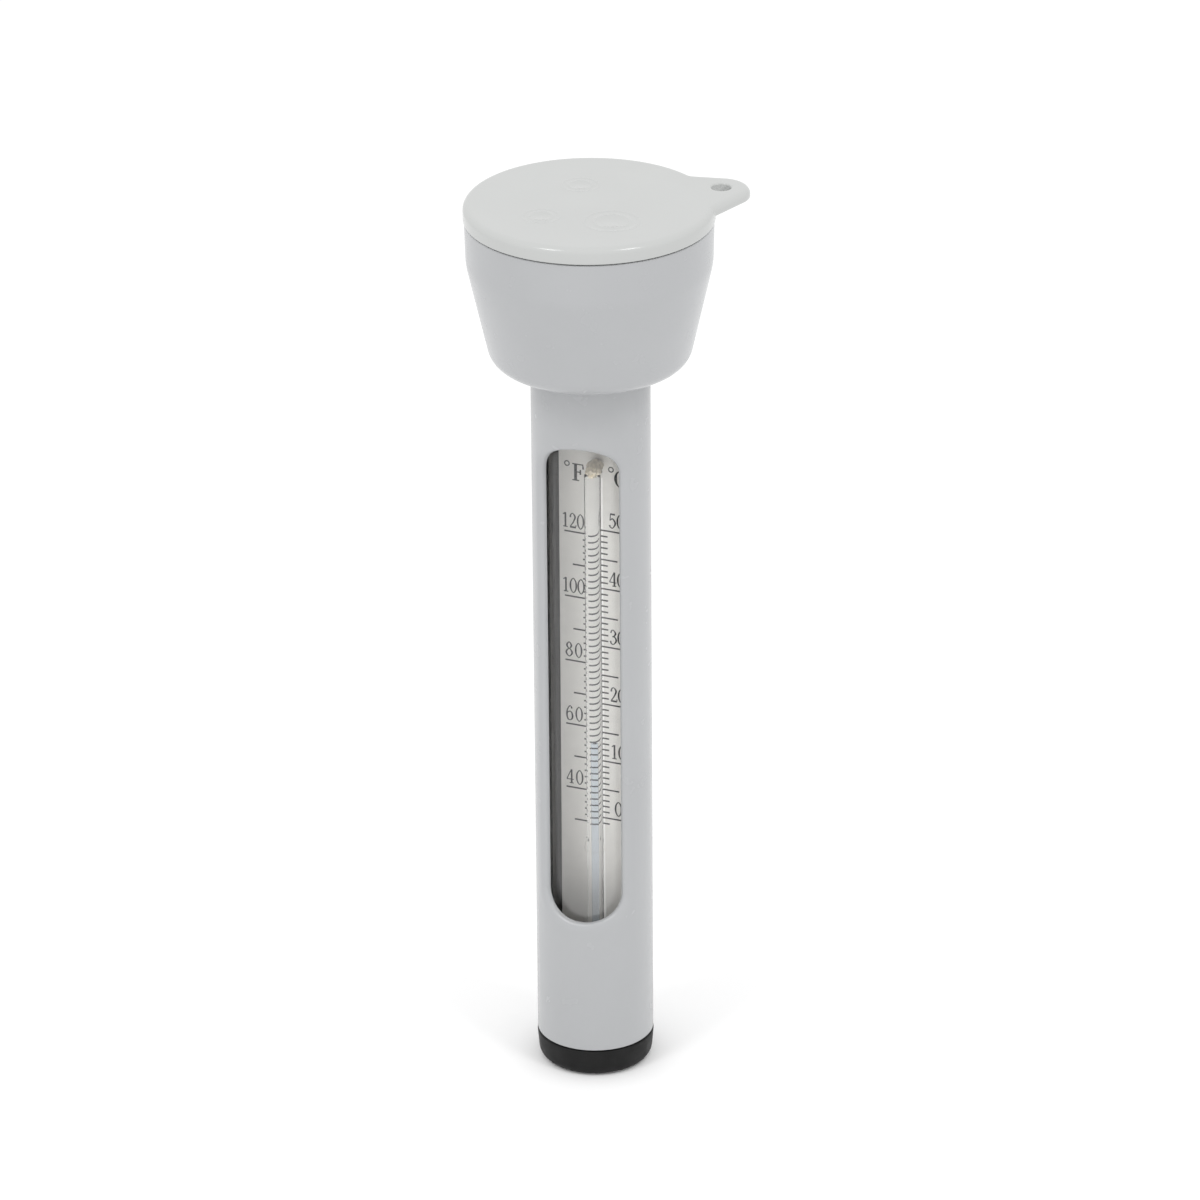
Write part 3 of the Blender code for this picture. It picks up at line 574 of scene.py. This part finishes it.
def cord_hole(bm):
    """Loops through the cord hole, with its rounded lips, from the top face to the tab's underside."""
    wide = TAB_HOLE_RADIUS + 2 * TAB_HOLE_LIP
    profile = rounded(
        [
            (wide, LID_TOP, 0),
            (TAB_HOLE_RADIUS, LID_TOP, TAB_HOLE_LIP),
            (TAB_HOLE_RADIUS, TAB_BOTTOM, TAB_HOLE_LIP),
            (wide, TAB_BOTTOM, 0),
        ],
        steps=6,
    )
    return [circle(bm, r, z, HOLE_STEPS, (TAB_HOLE_REACH, 0.0)) for r, z in profile]


def lid_mark(bm, centre, radius):
    """Loops over two low concentric rings on the lid's top, from outside them to inside them."""
    half = MARK_HALF_WIDTH
    profile = [(radius + half + 2 * MARK_SLOPE, LID_TOP)]
    for ring in (radius, MARK_INNER * radius):
        profile += [
            (ring + half + MARK_SLOPE, LID_TOP),
            (ring + half, LID_TOP + MARK_RISE),
            (ring - half, LID_TOP + MARK_RISE),
            (ring - half - MARK_SLOPE, LID_TOP),
        ]
    return [circle(bm, r, z, HOLE_STEPS, centre) for r, z in profile]


def lid_skirt(bm):
    """Loops down the outside of the skirt, with its ring groove, and up into the recess."""
    groove_top = LID_BOTTOM - GROOVE_DROP
    groove_foot = groove_top - RING_THICKNESS - GROOVE_ROOM
    ceiling = LID_TOP - LID_PLATE
    groove_round = 0.15 * MM
    profile = rounded(
        [
            (SKIRT_RADIUS + MM, LID_BOTTOM, 0),
            (SKIRT_RADIUS, LID_BOTTOM, 0.2 * MM),
            (SKIRT_RADIUS, groove_top, groove_round),
            (SKIRT_RADIUS - RING_GROOVE, groove_top, groove_round),
            (SKIRT_RADIUS - RING_GROOVE, groove_foot, groove_round),
            (SKIRT_RADIUS, groove_foot, groove_round),
            (SKIRT_RADIUS, SKIRT_FOOT, 0.6 * MM),
            (RECESS_RADIUS, SKIRT_FOOT, 0.3 * MM),
            (RECESS_RADIUS, ceiling, 0.5 * MM),
            (RECESS_RADIUS - 2 * MM, ceiling, 0),
        ],
        steps=4,
    )
    return [circle(bm, r, z) for r, z in profile]


def build_lid():
    """The lid: a disc with a tab, a cord hole, three moulded rings on top and a skirt under it."""
    bm = bmesh.new()
    top, underside, foot = lid_body(bm)
    hole = cord_hole(bm)
    skirt = lid_skirt(bm)
    turn = Matrix.Rotation(math.pi / 2 - TAB_TURN, 2)
    marks = [lid_mark(bm, turn @ Vector((x, y)) * MM, radius * MM) for x, y, radius in LID_MARKS]
    for loops in (hole, skirt, *marks):
        join_loops(bm, loops)
    for inner in (skirt[-1], *[mark[-1] for mark in marks]):
        bm.faces.new(inner)
    for rims in ((top, hole[0], *[mark[0] for mark in marks]), (underside, hole[-1]), (foot, skirt[0])):
        edges = [item for rim in rims for item in rim_edges(bm, rim)]
        bmesh.ops.triangle_fill(bm, use_beauty=True, edges=edges, normal=(0, 0, 1))
    bmesh.ops.rotate(bm, verts=bm.verts, matrix=Matrix.Rotation(TAB_TURN - math.pi / 2, 3, "Z"))
    return piece("moulded_lid", bm, LID_PLASTIC, "lid", "lid_plastic", "lid")


def build_bowl():
    """The float head: a cup with a soft shoulder, a cone and a well for the tube."""
    well = TUBE_RADIUS + WELL_CLEAR
    well_outer = well + BOWL_WALL
    lean = (BOWL_SHOULDER_RADIUS - BOWL_FOOT_RADIUS) / (BOWL_SHOULDER - BOWL_BOTTOM)
    inner_foot = BOWL_FOOT_RADIUS + BOWL_WALL * lean - BOWL_WALL * math.hypot(1, lean)
    outline = rounded(
        [
            (0.0, WELL_ROOF, 0),
            (well, WELL_ROOF, 0.3 * MM),
            (well, BOWL_BOTTOM, 0.35 * MM),
            (BOWL_FOOT_RADIUS, BOWL_BOTTOM, BOWL_FOOT_ROUND),
            (BOWL_SHOULDER_RADIUS, BOWL_SHOULDER, BOWL_SHOULDER_ROUND),
            (BOWL_RIM_RADIUS, BOWL_TOP, 0.35 * MM),
            (BOWL_RIM_RADIUS - BOWL_WALL, BOWL_TOP, 0.3 * MM),
            (BOWL_SHOULDER_RADIUS - BOWL_WALL, BOWL_SHOULDER, BOWL_INNER_SHOULDER_ROUND),
            (inner_foot, BOWL_BOTTOM + BOWL_WALL, BOWL_INNER_FOOT_ROUND),
            (well_outer, BOWL_BOTTOM + BOWL_WALL, 0.8 * MM),
            (well_outer, WELL_ROOF + WELL_ROOF_THICKNESS, 1.0 * MM),
            (0.0, WELL_ROOF + WELL_ROOF_THICKNESS, 0),
        ],
        steps=10,
    )
    return piece("moulded_bowl", lathe(outline), BODY_PLASTIC, "casing", "body_plastic", "float_bowl")


# ---------------------------------------------------------------- tube


def square_walk():
    """Half the outline of a square of side 2, from (1, 0) over the top to (-1, 0), in equal steps."""
    count = PANEL_COLUMNS
    rise = [(1.0, i / count) for i in range(count)]
    across = [(1.0 - i / count, 1.0) for i in range(2 * count)]
    fall = [(-1.0, 1.0 - i / count) for i in range(count + 1)]
    return rise + across + fall


def window_loop(half_width, squareness):
    """A loop round the window, as (arc, z) on the unrolled tube: round-ended at 0, square-ended at 1."""
    high = WINDOW_TOP - WINDOW_END
    low = WINDOW_BOTTOM + WINDOW_END
    end = half_width - WINDOW_HALF_ARC + WINDOW_END
    walk = square_walk()
    top = []
    for i, (square_x, square_z) in enumerate(walk):
        angle = math.pi * i / (len(walk) - 1)
        x = half_width * (math.cos(angle) * (1 - squareness) + square_x * squareness)
        z = end * math.sin(angle) * (1 - squareness) + half_width * square_z * squareness
        top.append((x, high + z))
    return top + [(-x, low + high - z) for x, z in top]


def window_profile():
    """(half width, squareness, radius) of each loop, from the panel's border over the rim to the bore."""
    panel = PANEL_COLUMNS * math.tau * TUBE_RADIUS / COLUMNS
    rim = WINDOW_HALF_ARC + WINDOW_RIM
    loops = []
    for share in PANEL_SHARES:
        loops.append((rim + (panel - rim) * share, share, TUBE_RADIUS))
    steps = 12
    for i in range(steps + 1):
        angle = math.pi / 2 * i / steps
        half = rim - WINDOW_RIM * math.sin(angle)
        loops.append((half, 0.0, TUBE_RADIUS - WINDOW_RIM_DEPTH * (1 - math.cos(angle))))
    edge_steps = 4
    for i in range(edge_steps + 1):
        angle = math.pi / 2 * i / edge_steps
        reach = WINDOW_HALF_ARC + WINDOW_INNER_ROUND * (1 - math.cos(angle))
        loops.append((reach, 0.0, BORE_RADIUS + WINDOW_INNER_ROUND * (1 - math.sin(angle))))
    for share in reversed(PANEL_SHARES):
        loops.append((rim + (panel - rim) * share, share, BORE_RADIUS))
    return loops


def put_on_tube(bm, x, z, radius):
    """A point on a skin of the tube, x measured round the outer skin from the window's middle."""
    return bm.verts.new((radius * math.sin(x / TUBE_RADIUS), -radius * math.cos(x / TUBE_RADIUS), z))


def tube_back(bm, border, low_end, high_end):
    """Plain strips of one skin above and below the window's panel, and round the tube's back."""
    half = len(border) // 2
    side = PANEL_COLUMNS
    for i in range(-side, side):
        over = border[2 * side - i], border[2 * side - i - 1]
        under = border[half + 2 * side + i], border[half + 2 * side + i + 1]
        bm.faces.new((over[0], over[1], high_end[i + 1], high_end[i]))
        bm.faces.new((under[0], under[1], low_end[i + 1], low_end[i]))
    right = border[half + 3 * side :] + border[: side + 1]
    left = border[3 * side : half + side + 1]
    for i in range(side, COLUMNS - side):
        j = i + 1
        near = [low_end[i], high_end[i]]
        far = [high_end[j % COLUMNS], low_end[j % COLUMNS]]
        if i == side:
            near = [low_end[i], *right, high_end[i]]
        if j == COLUMNS - side:
            far = [high_end[j], *left, low_end[j]]
        bm.faces.new((*near, *far))


def tube_end(bm, z, inwards):
    """Loops round an end of the tube, from its outer skin to its inner one, with rounded edges."""
    edge = TUBE_END_ROUND
    column = math.tau * TUBE_RADIUS / COLUMNS
    steps = 3
    turns = [(math.cos(math.pi / 2 * i / steps), math.sin(math.pi / 2 * i / steps)) for i in range(steps + 1)]
    loops = [(TUBE_RADIUS - edge * (1 - cosine), edge * (1 - sine)) for cosine, sine in turns]
    loops += [(BORE_RADIUS + edge * (1 - sine), edge * (1 - cosine)) for cosine, sine in turns]
    return [[put_on_tube(bm, i * column, z + inwards * lift, r) for i in range(COLUMNS)] for r, lift in loops]


def build_tube():
    """The tube with its long round-ended window and the window's rolled rim."""
    bm = bmesh.new()
    panels = []
    for half, squareness, radius in window_profile():
        panels.append([put_on_tube(bm, x, z, radius) for x, z in window_loop(half, squareness)])
    join_loops(bm, panels)
    low_end = tube_end(bm, TUBE_BOTTOM, 1)
    high_end = tube_end(bm, TUBE_TOP, -1)
    join_loops(bm, low_end)
    join_loops(bm, high_end)
    for border, k in ((panels[0], 0), (panels[-1], -1)):
        tube_back(bm, border, low_end[k], high_end[k])
    tube = piece("moulded_tube", bm, BODY_PLASTIC, "casing", "body_plastic", "casing_tube")
    # The bore's faces take the darkened material: painted shade inside the tube, not a different plastic.
    tube.data.materials.append(BORE_PAINTED_SHADE)
    for face in tube.data.polygons:
        if all(tube.data.vertices[i].co.xy.length < BORE_RADIUS + SLACK for i in face.vertices):
            face.material_index = 1
    return tube


# ---------------------------------------------------------------- end cap


def build_cap():
    """The rubber cap: a rounded foot, a ribbed plug and a cup for the ballast."""
    corners = [
        (0.0, 0.0, 0),
        (CAP_RADIUS - CAP_FOOT_INSET, 0.0, CAP_FOOT_ROUND),
        (CAP_RADIUS, CAP_TOP, 0.4 * MM),
        (PLUG_RADIUS, CAP_TOP, 0.2 * MM),
    ]
    for rib in RIB_HEIGHTS:
        corners += [
            (PLUG_RADIUS, rib - RIB_HALF_WIDTH, 0.2 * MM),
            (PLUG_RADIUS + RIB_RISE, rib, 0.3 * MM),
            (PLUG_RADIUS, rib + RIB_HALF_WIDTH, 0.2 * MM),
        ]
    corners += [
        (PLUG_RADIUS, PLUG_TOP, 0.5 * MM),
        (CUP_RADIUS, PLUG_TOP, 0.3 * MM),
        (CUP_RADIUS, CUP_FLOOR, 0.3 * MM),
        (0.0, CUP_FLOOR, 0),
    ]
    bm = lathe(rounded(corners, steps=7))
    return piece("rubber_cap", bm, CAP_RUBBER, "end_cap", "black_rubber", "end_cap")


# ---------------------------------------------------------------- sealed thermometer


def stem_centre():
    """The middle of the stem's section, in the model's frame."""
    return THERMOMETER_TURN @ Vector((STEM_ACROSS, -STEM_FORWARD, 0.0))


def on_card(across, height, lift):
    """A point in front of the card's printed face, in the model's frame."""
    return THERMOMETER_TURN @ Vector((across, CARD_FACE - lift, height))


def build_sleeve():
    """The clear tube that the stoppers close."""
    low = foot_of("clear_sleeve")
    high = top_of("clear_sleeve")
    corners = [
        (SLEEVE_BORE, low, SLEEVE_ROUND),
        (SLEEVE_RADIUS, low, SLEEVE_ROUND),
        (SLEEVE_RADIUS, high, SLEEVE_ROUND),
        (SLEEVE_BORE, high, SLEEVE_ROUND),
    ]
    bm = lathe(rounded(corners, steps=4))
    return piece("clear_tube", bm, SLEEVE_PLASTIC, "thermometer", "clear_plastic", "clear_sleeve")


def build_stem():
    """The glass stem with its drawn neck and bulb."""
    low = foot_of("glass_stem")
    neck = BULB_TOP + NECK_LENGTH
    taper_round = 1.2 * MM
    neck_round = 1.0 * MM
    outline = rounded(
        [
            (0.0, low, 0),
            (STEM_RADIUS, low, 1.7 * MM),
            (STEM_RADIUS, BULB_TOP - NECK_TAPER, taper_round),
            (STEM_NECK_RADIUS, BULB_TOP, neck_round),
            (STEM_NECK_RADIUS, neck, neck_round),
            (STEM_RADIUS, neck + NECK_TAPER, taper_round),
            (STEM_RADIUS, top_of("glass_stem"), 0.7 * MM),
            (0.0, top_of("glass_stem"), 0),
        ]
    )
    bm = lathe(outline, SMALL_STEPS, stem_centre()[:2])
    return piece("stem_rod", bm, STEM_GLASS, "thermometer", "stem_glass", "glass_stem")


def build_spirit():
    """The thread of spirit: its lower end stays by the bulb and its top moves with the reading."""
    low = foot_of("spirit_column")
    high = top_of("spirit_column")
    outline = [(0.0, low)]
    for i in range(SPIRIT_BANDS + 1):
        outline.append((SPIRIT_RADIUS, low + (high - low) * i / SPIRIT_BANDS))
    outline += [(SPIRIT_RADIUS * share, high - dip) for share, dip in MENISCUS]
    bm = lathe(outline, SMALL_STEPS, stem_centre()[:2])
    thread = piece("spirit_thread", bm, SPIRIT, None, "spirit", "spirit_column")
    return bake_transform(thread)


def build_adhesive():
    """The dab of adhesive over the stem's top, an uneven ball in place of the CAD one."""
    low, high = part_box("stem_adhesive")
    low.z -= ADHESIVE_DROP
    low.y -= ADHESIVE_FRONT
    middle = (low + high) / 2
    size = high - low
    bands = 20
    outline = []
    for i in range(bands + 1):
        angle = math.pi * i / bands
        outline.append((0.5 * math.sin(angle), -0.5 * math.cos(angle)))
    bm = lathe(outline, SMALL_STEPS)
    for vert in bm.verts:
        lump = 1.0 + LUMP_HEIGHT * noise.noise(vert.co * LUMP_COUNT)
        width = ADHESIVE_WIDTH * vert.co.x * size.x * lump
        shape = Vector((width, vert.co.y * size.y * lump, vert.co.z * size.z))
        vert.co = middle + shape
    return piece("adhesive_dab", bm, ADHESIVE, "thermometer", "adhesive", "stem_adhesive")


# ---------------------------------------------------------------- printed scale

THIN = 0.06  # the widths of strokes, in figure heights
MID = 0.085
THICK = 0.115
HEAVY = 0.17

# Each figure: strokes of (closed, points), a point (across, up, width) in figure heights.
FIGURES = {
    "0": [(True, [(0.26, 1.0, THIN), (0.42, 0.8, MID), (0.465, 0.5, THICK), (0.42, 0.2, MID),
                  (0.26, 0.0, THIN), (0.1, 0.2, MID), (0.055, 0.5, THICK), (0.1, 0.8, MID)])],
    "1": [(False, [(0.1, 0.86, THIN), (0.28, 0.98, MID)]),
          (False, [(0.28, 1.0, THICK), (0.28, 0.02, THICK)]),
          (False, [(0.12, 0.03, THIN), (0.44, 0.03, THIN)])],
    "2": [(False, [(0.09, 0.72, THICK), (0.12, 0.9, MID), (0.26, 1.0, THIN), (0.42, 0.78, THICK),
                   (0.3, 0.42, MID), (0.07, 0.07, THIN)]),
          (False, [(0.06, 0.05, THICK), (0.46, 0.05, THICK)]),
          (False, [(0.45, 0.03, THIN), (0.49, 0.22, THIN)])],
    "3": [(False, [(0.09, 0.78, MID), (0.14, 0.94, MID), (0.26, 1.0, THIN), (0.41, 0.79, THICK),
                   (0.33, 0.6, MID), (0.2, 0.54, THIN)]),
          (False, [(0.2, 0.54, THIN), (0.37, 0.5, MID), (0.46, 0.27, THICK), (0.27, 0.0, THIN),
                   (0.11, 0.06, MID), (0.06, 0.22, THICK)])],
    "4": [(False, [(0.35, 1.0, THIN), (0.03, 0.3, THIN)]),
          (False, [(0.02, 0.28, THIN), (0.5, 0.28, THIN)]),
          (False, [(0.36, 0.99, THICK), (0.36, 0.02, THICK)]),
          (False, [(0.22, 0.025, THIN), (0.49, 0.025, THIN)])],
    "5": [(False, [(0.1, 0.95, THICK), (0.43, 0.95, THICK)]),
          (False, [(0.12, 0.95, THIN), (0.09, 0.5, THIN)]),
          (False, [(0.09, 0.52, THIN), (0.27, 0.64, MID), (0.45, 0.34, THICK), (0.27, 0.0, THIN),
                   (0.11, 0.05, MID), (0.06, 0.18, THICK)])],
    "6": [(False, [(0.42, 0.83, THICK), (0.36, 0.96, THIN), (0.26, 0.99, THIN), (0.11, 0.74, MID),
                   (0.06, 0.38, THICK), (0.13, 0.08, MID), (0.26, 0.0, THIN), (0.41, 0.09, MID),
                   (0.46, 0.31, THICK), (0.4, 0.53, MID), (0.27, 0.61, THIN), (0.13, 0.52, THIN),
                   (0.08, 0.36, THIN)])],
    "8": [(True, [(0.26, 1.0, THIN), (0.42, 0.77, THICK), (0.26, 0.54, THIN), (0.1, 0.77, THICK)]),
          (True, [(0.26, 0.54, THIN), (0.47, 0.27, THICK), (0.26, 0.0, THIN), (0.05, 0.27, THICK)])],
    "F": [(False, [(0.21, 0.99, HEAVY), (0.21, 0.01, HEAVY)]),
          (False, [(0.02, 0.965, THIN), (0.66, 0.965, THIN)]),
          (False, [(0.63, 0.99, THIN), (0.66, 0.72, MID)]),
          (False, [(0.21, 0.52, THIN), (0.5, 0.52, THIN)]),
          (False, [(0.49, 0.66, MID), (0.49, 0.38, MID)]),
          (False, [(0.02, 0.03, THIN), (0.42, 0.03, THIN)])],
    "C": [(False, [(0.66, 0.7, MID), (0.58, 0.92, MID), (0.4, 1.0, THIN), (0.14, 0.82, MID),
                   (0.06, 0.5, HEAVY), (0.14, 0.17, MID), (0.4, 0.0, THIN), (0.6, 0.08, MID),
                   (0.69, 0.28, THIN)]),
          (False, [(0.66, 0.98, THIN), (0.67, 0.7, MID)])],
}
FIGURE_WIDTH = 0.52  # in figure heights


def smooth_stroke(points, closed):
    """Points along a smooth curve through the given (across, up, width) points."""
    steps = 6
    count = len(points)
    if count == 2:
        return [Vector(point) for point in points]
    path = []
    for i in range(count if closed else count - 1):
        near = []
        for k in (i - 1, i, i + 1, i + 2):
            near.append(Vector(points[k % count if closed else min(max(k, 0), count - 1)]))
        a, b, c, d = near
        for step in range(steps):
            t = step / steps
            bend = (2 * a - 5 * b + 4 * c - d) * t**2 + (3 * b - a - 3 * c + d) * t**3
            path.append((2 * b + (c - a) * t + bend) / 2)
    if not closed:
        path.append(Vector(points[-1]))
    return path


def ink_stroke(bm, path, closed=False, low=INK_GAP, high=INK_GAP + INK_THICKNESS):
    """A flat closed bar of ink along (across, height, width) points on the card."""
    count = len(path)
    rings = []
    for i, (x, z, width) in enumerate(path):
        before = path[i - 1] if closed or i else path[0]
        after = path[(i + 1) % count] if closed or i + 1 < count else path[-1]
        along = Vector((after[0] - before[0], after[1] - before[1])).normalized()
        out = Vector((-along.y, along.x)) * width / 2
        corners = ((1, low), (-1, low), (-1, high), (1, high))
        places = [on_card(x + side * out.x, z + side * out.y, lift) for side, lift in corners]
        rings.append([bm.verts.new(place) for place in places])
    join_loops(bm, rings, closed)
    if not closed:
        bm.faces.new(rings[0])
        bm.faces.new(rings[-1])


def ink_figure(bm, figure, left, baseline, height):
    """A figure or letter of the given height, its left and lower sides given."""
    for closed, points in FIGURES[figure]:
        stroke = smooth_stroke(points, closed)
        path = [(left + x * height, baseline + z * height, w * height) for x, z, w in stroke]
        ink_stroke(bm, path, closed)


def ink_number(bm, number, middle, baseline, height, pitch):
    """A number centred on middle, its figures pitch apart."""
    text = str(number)
    for i, figure in enumerate(text):
        centre = middle + (i - (len(text) - 1) / 2) * pitch
        ink_figure(bm, figure, centre - FIGURE_WIDTH * height / 2, baseline, height)


def ink_line(bm, left, right, height):
    ink_stroke(bm, [(left, height, LINE_WIDTH), (right, height, LINE_WIDTH)])


def ink_degree(bm, across, height):
    """The small ring of a degree sign."""
    ring = arc((across, height), DEGREE_RADIUS, 0, math.tau, steps=20)[:-1]
    path = [(x, z, DEGREE_WIDTH) for x, z in ring]
    ink_stroke(bm, path, closed=True)


def celsius_height(degrees):
    return SCALE_ZERO + degrees * SCALE_PER_DEGREE


def fahrenheit_height(degrees):
    return celsius_height((degrees - 32) / 1.8)


def line_end(lines, degrees):
    """Where a line of the scale ends: the coarsest of the lines' steps that its degrees fall on decides."""
    return next(end for step, end in lines if degrees % step == 0)


def build_print():
    """The printed scale: Fahrenheit on the left of the stem, Celsius on its right."""
    bm = bmesh.new()
    for degrees in range(30, 121, 2):
        ink_line(bm, line_end(FAHRENHEIT_LINES, degrees), 0.0, fahrenheit_height(degrees))
    for degrees in range(40, 121, 20):
        pitch = FIGURE_PITCH if degrees >= 100 else WIDE_PITCH
        baseline = fahrenheit_height(degrees) + ABOVE_LINE
        ink_number(bm, degrees, FAHRENHEIT_MIDDLE, baseline, FIGURE_HEIGHT, pitch)
    for degrees in range(-1, 51):
        ink_line(bm, CELSIUS_START, line_end(CELSIUS_LINES, degrees), celsius_height(degrees))
    for degrees in range(0, 51, 10):
        baseline = celsius_height(degrees) + ABOVE_LINE
        ink_number(bm, degrees, CELSIUS_MIDDLE, baseline, FIGURE_HEIGHT, FIGURE_PITCH)
    for letter, left, ring, ring_height in UNIT_MARKS:
        ink_degree(bm, ring * MM, ring_height * MM)
        ink_figure(bm, letter, left * MM, LETTER_FOOT, LETTER_HEIGHT)
    return piece("scale_print", bm, INK, "thermometer", "card")


def build_white_stripe():
    """A narrow white stripe down the card beside the stem, standing in for a line of light, not for print."""
    bm = bmesh.new()
    path = [(STRIPE_ACROSS, STRIPE_FOOT, STRIPE_WIDTH), (STRIPE_ACROSS, STRIPE_TOP, STRIPE_WIDTH)]
    ink_stroke(bm, path, False, STRIPE_BACK, STRIPE_FACE)
    return piece("white_stripe", bm, PAINTED_LIGHT_STRIPE, "thermometer", "card")


# ---------------------------------------------------------------- small parts


def build_gasket(name, node, body):
    """A round sealing ring in place of a CAD one."""
    low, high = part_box(node)
    half = (high.z - low.z) / 2
    middle = (radius_of(node) - half, (high.z + low.z) / 2)
    outline = arc(middle, half, 0, math.tau, steps=16)[:-1]
    return piece(name, lathe(outline, DISC_STEPS), RING_RUBBER, body, "ring_rubber", node)


def build_disc(name, node, material, body, slot, edge):
    """A round disc with softened edges in place of a CAD one."""
    radius = radius_of(node)
    low, high = foot_of(node), top_of(node)
    corners = [(0.0, low, 0), (radius, low, edge), (radius, high, edge), (0.0, high, 0)]
    return piece(name, lathe(rounded(corners), DISC_STEPS), material, body, slot, node)


def finish_cad_nodes():
    """Materials for the CAD nodes that stay in view."""
    for node, material in (
        ("scale_card", CARD),
        ("top_stopper", STOPPER_PLASTIC),
        ("bottom_stopper", STOPPER_PLASTIC),
        ("bulb_spirit", BULB_SPIRIT),
        ("stem_tie", NYLON),
    ):
        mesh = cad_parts[node].data
        mesh.materials.clear()
        mesh.materials.append(material)


# ---------------------------------------------------------------- studio


def build_floor():
    """A wide matt floor, almost white."""
    bm = bmesh.new()
    sides = ((-1, -1), (1, -1), (1, 1), (-1, 1))
    bm.faces.new([bm.verts.new((x * FLOOR_HALF, y * FLOOR_HALF, 0.0)) for x, y in sides])
    mesh = bpy.data.meshes.new("floor")
    bm.to_mesh(mesh)
    bm.free()
    white = (0.95, 0.95, 0.95)
    paint = new_material("floor paint", white, roughness=0.9, Specular_IOR_Level=0.0)
    mottle(paint, white, spread=0.01, scale=6.0)
    mesh.materials.append(paint)
    floor = bpy.data.objects.new("floor", mesh)
    bpy.context.scene.collection.objects.link(floor)


def softbox(name, side):
    """A rectangular light high in front, to one side as the camera sees it, that faces the lid's centre."""
    light = bpy.data.lights.new(name, "AREA")
    light.shape = "RECTANGLE"
    light.size = SOFTBOX_WIDTH
    light.size_y = SOFTBOX_DEPTH
    light.energy = SOFTBOX_RADIANCE * math.pi * SOFTBOX_WIDTH * SOFTBOX_DEPTH
    obj = bpy.data.objects.new(name, light)
    turn = Matrix.Rotation(CAMERA_SWING, 4, "Z")
    place = Vector((side, SOFTBOX_AWAY, SOFTBOX_HEIGHT))
    aim = (-place).to_track_quat("-Z", "Y").to_matrix().to_4x4()
    lid_centre = Matrix.Translation((0.0, 0.0, top_of("lid")))
    obj.matrix_world = lid_centre @ turn @ Matrix.Translation(place) @ aim
    bpy.context.scene.collection.objects.link(obj)


def build_light():
    """Even white light from all round, and two softboxes for the highlights along the lid's front edge."""
    world = bpy.data.worlds.new("studio")
    world.use_nodes = True
    world.node_tree.nodes["Background"].inputs["Color"].default_value = (1.0, 1.0, 1.0, 1.0)
    world.node_tree.nodes["Background"].inputs["Strength"].default_value = 1.0
    bpy.context.scene.world = world
    softbox("left front softbox", -SOFTBOX_SIDE)
    softbox("right front softbox", SOFTBOX_SIDE)


def build_camera():
    """A long lens, a little above the object and to the right of the window."""
    distance = 1.5355
    height = 0.8333
    pitch = math.radians(24.901)
    yaw = math.radians(0.068)
    roll = math.radians(-0.437)
    forward = Vector((math.sin(yaw) * math.cos(pitch), math.cos(yaw) * math.cos(pitch), -math.sin(pitch)))
    right = forward.cross(Vector((0, 0, 1))).normalized()
    up = right.cross(forward)
    right, up = right * math.cos(roll) + up * math.sin(roll), up * math.cos(roll) - right * math.sin(roll)
    turn = Matrix.Rotation(CAMERA_SWING, 3, "Z")
    axes = turn @ Matrix((right, up, -forward)).transposed()
    data = bpy.data.cameras.new("camera")
    data.lens = 215.28
    data.sensor_width = 36.0
    data.clip_end = 20.0
    camera = bpy.data.objects.new("camera", data)
    camera.matrix_world = Matrix.Translation(turn @ Vector((0.0, -distance, height))) @ axes.to_4x4()
    bpy.context.scene.collection.objects.link(camera)
    bpy.context.scene.camera = camera


build_lid()
build_bowl()
build_tube()
build_cap()
build_sleeve()
build_stem()
build_spirit()
build_adhesive()
build_print()
build_white_stripe()
build_gasket("lid_gasket", "lid_ring", "lid")
build_gasket("top_gasket", "top_stopper_ring", "thermometer")
build_gasket("bottom_gasket", "bottom_stopper_ring", "thermometer")
build_disc("upper_foam", "upper_pad", FOAM, "casing", "foam", 0.4 * MM)
build_disc("foot_foam", "foot_pad", FOAM, "end_cap", "foam", 0.25 * MM)
build_disc("ballast_slug", "ballast_weight", STEEL, "end_cap", "steel", 0.6 * MM)
finish_cad_nodes()
build_floor()
build_light()
build_camera()
bpy.context.scene.view_settings.view_transform = "Standard"
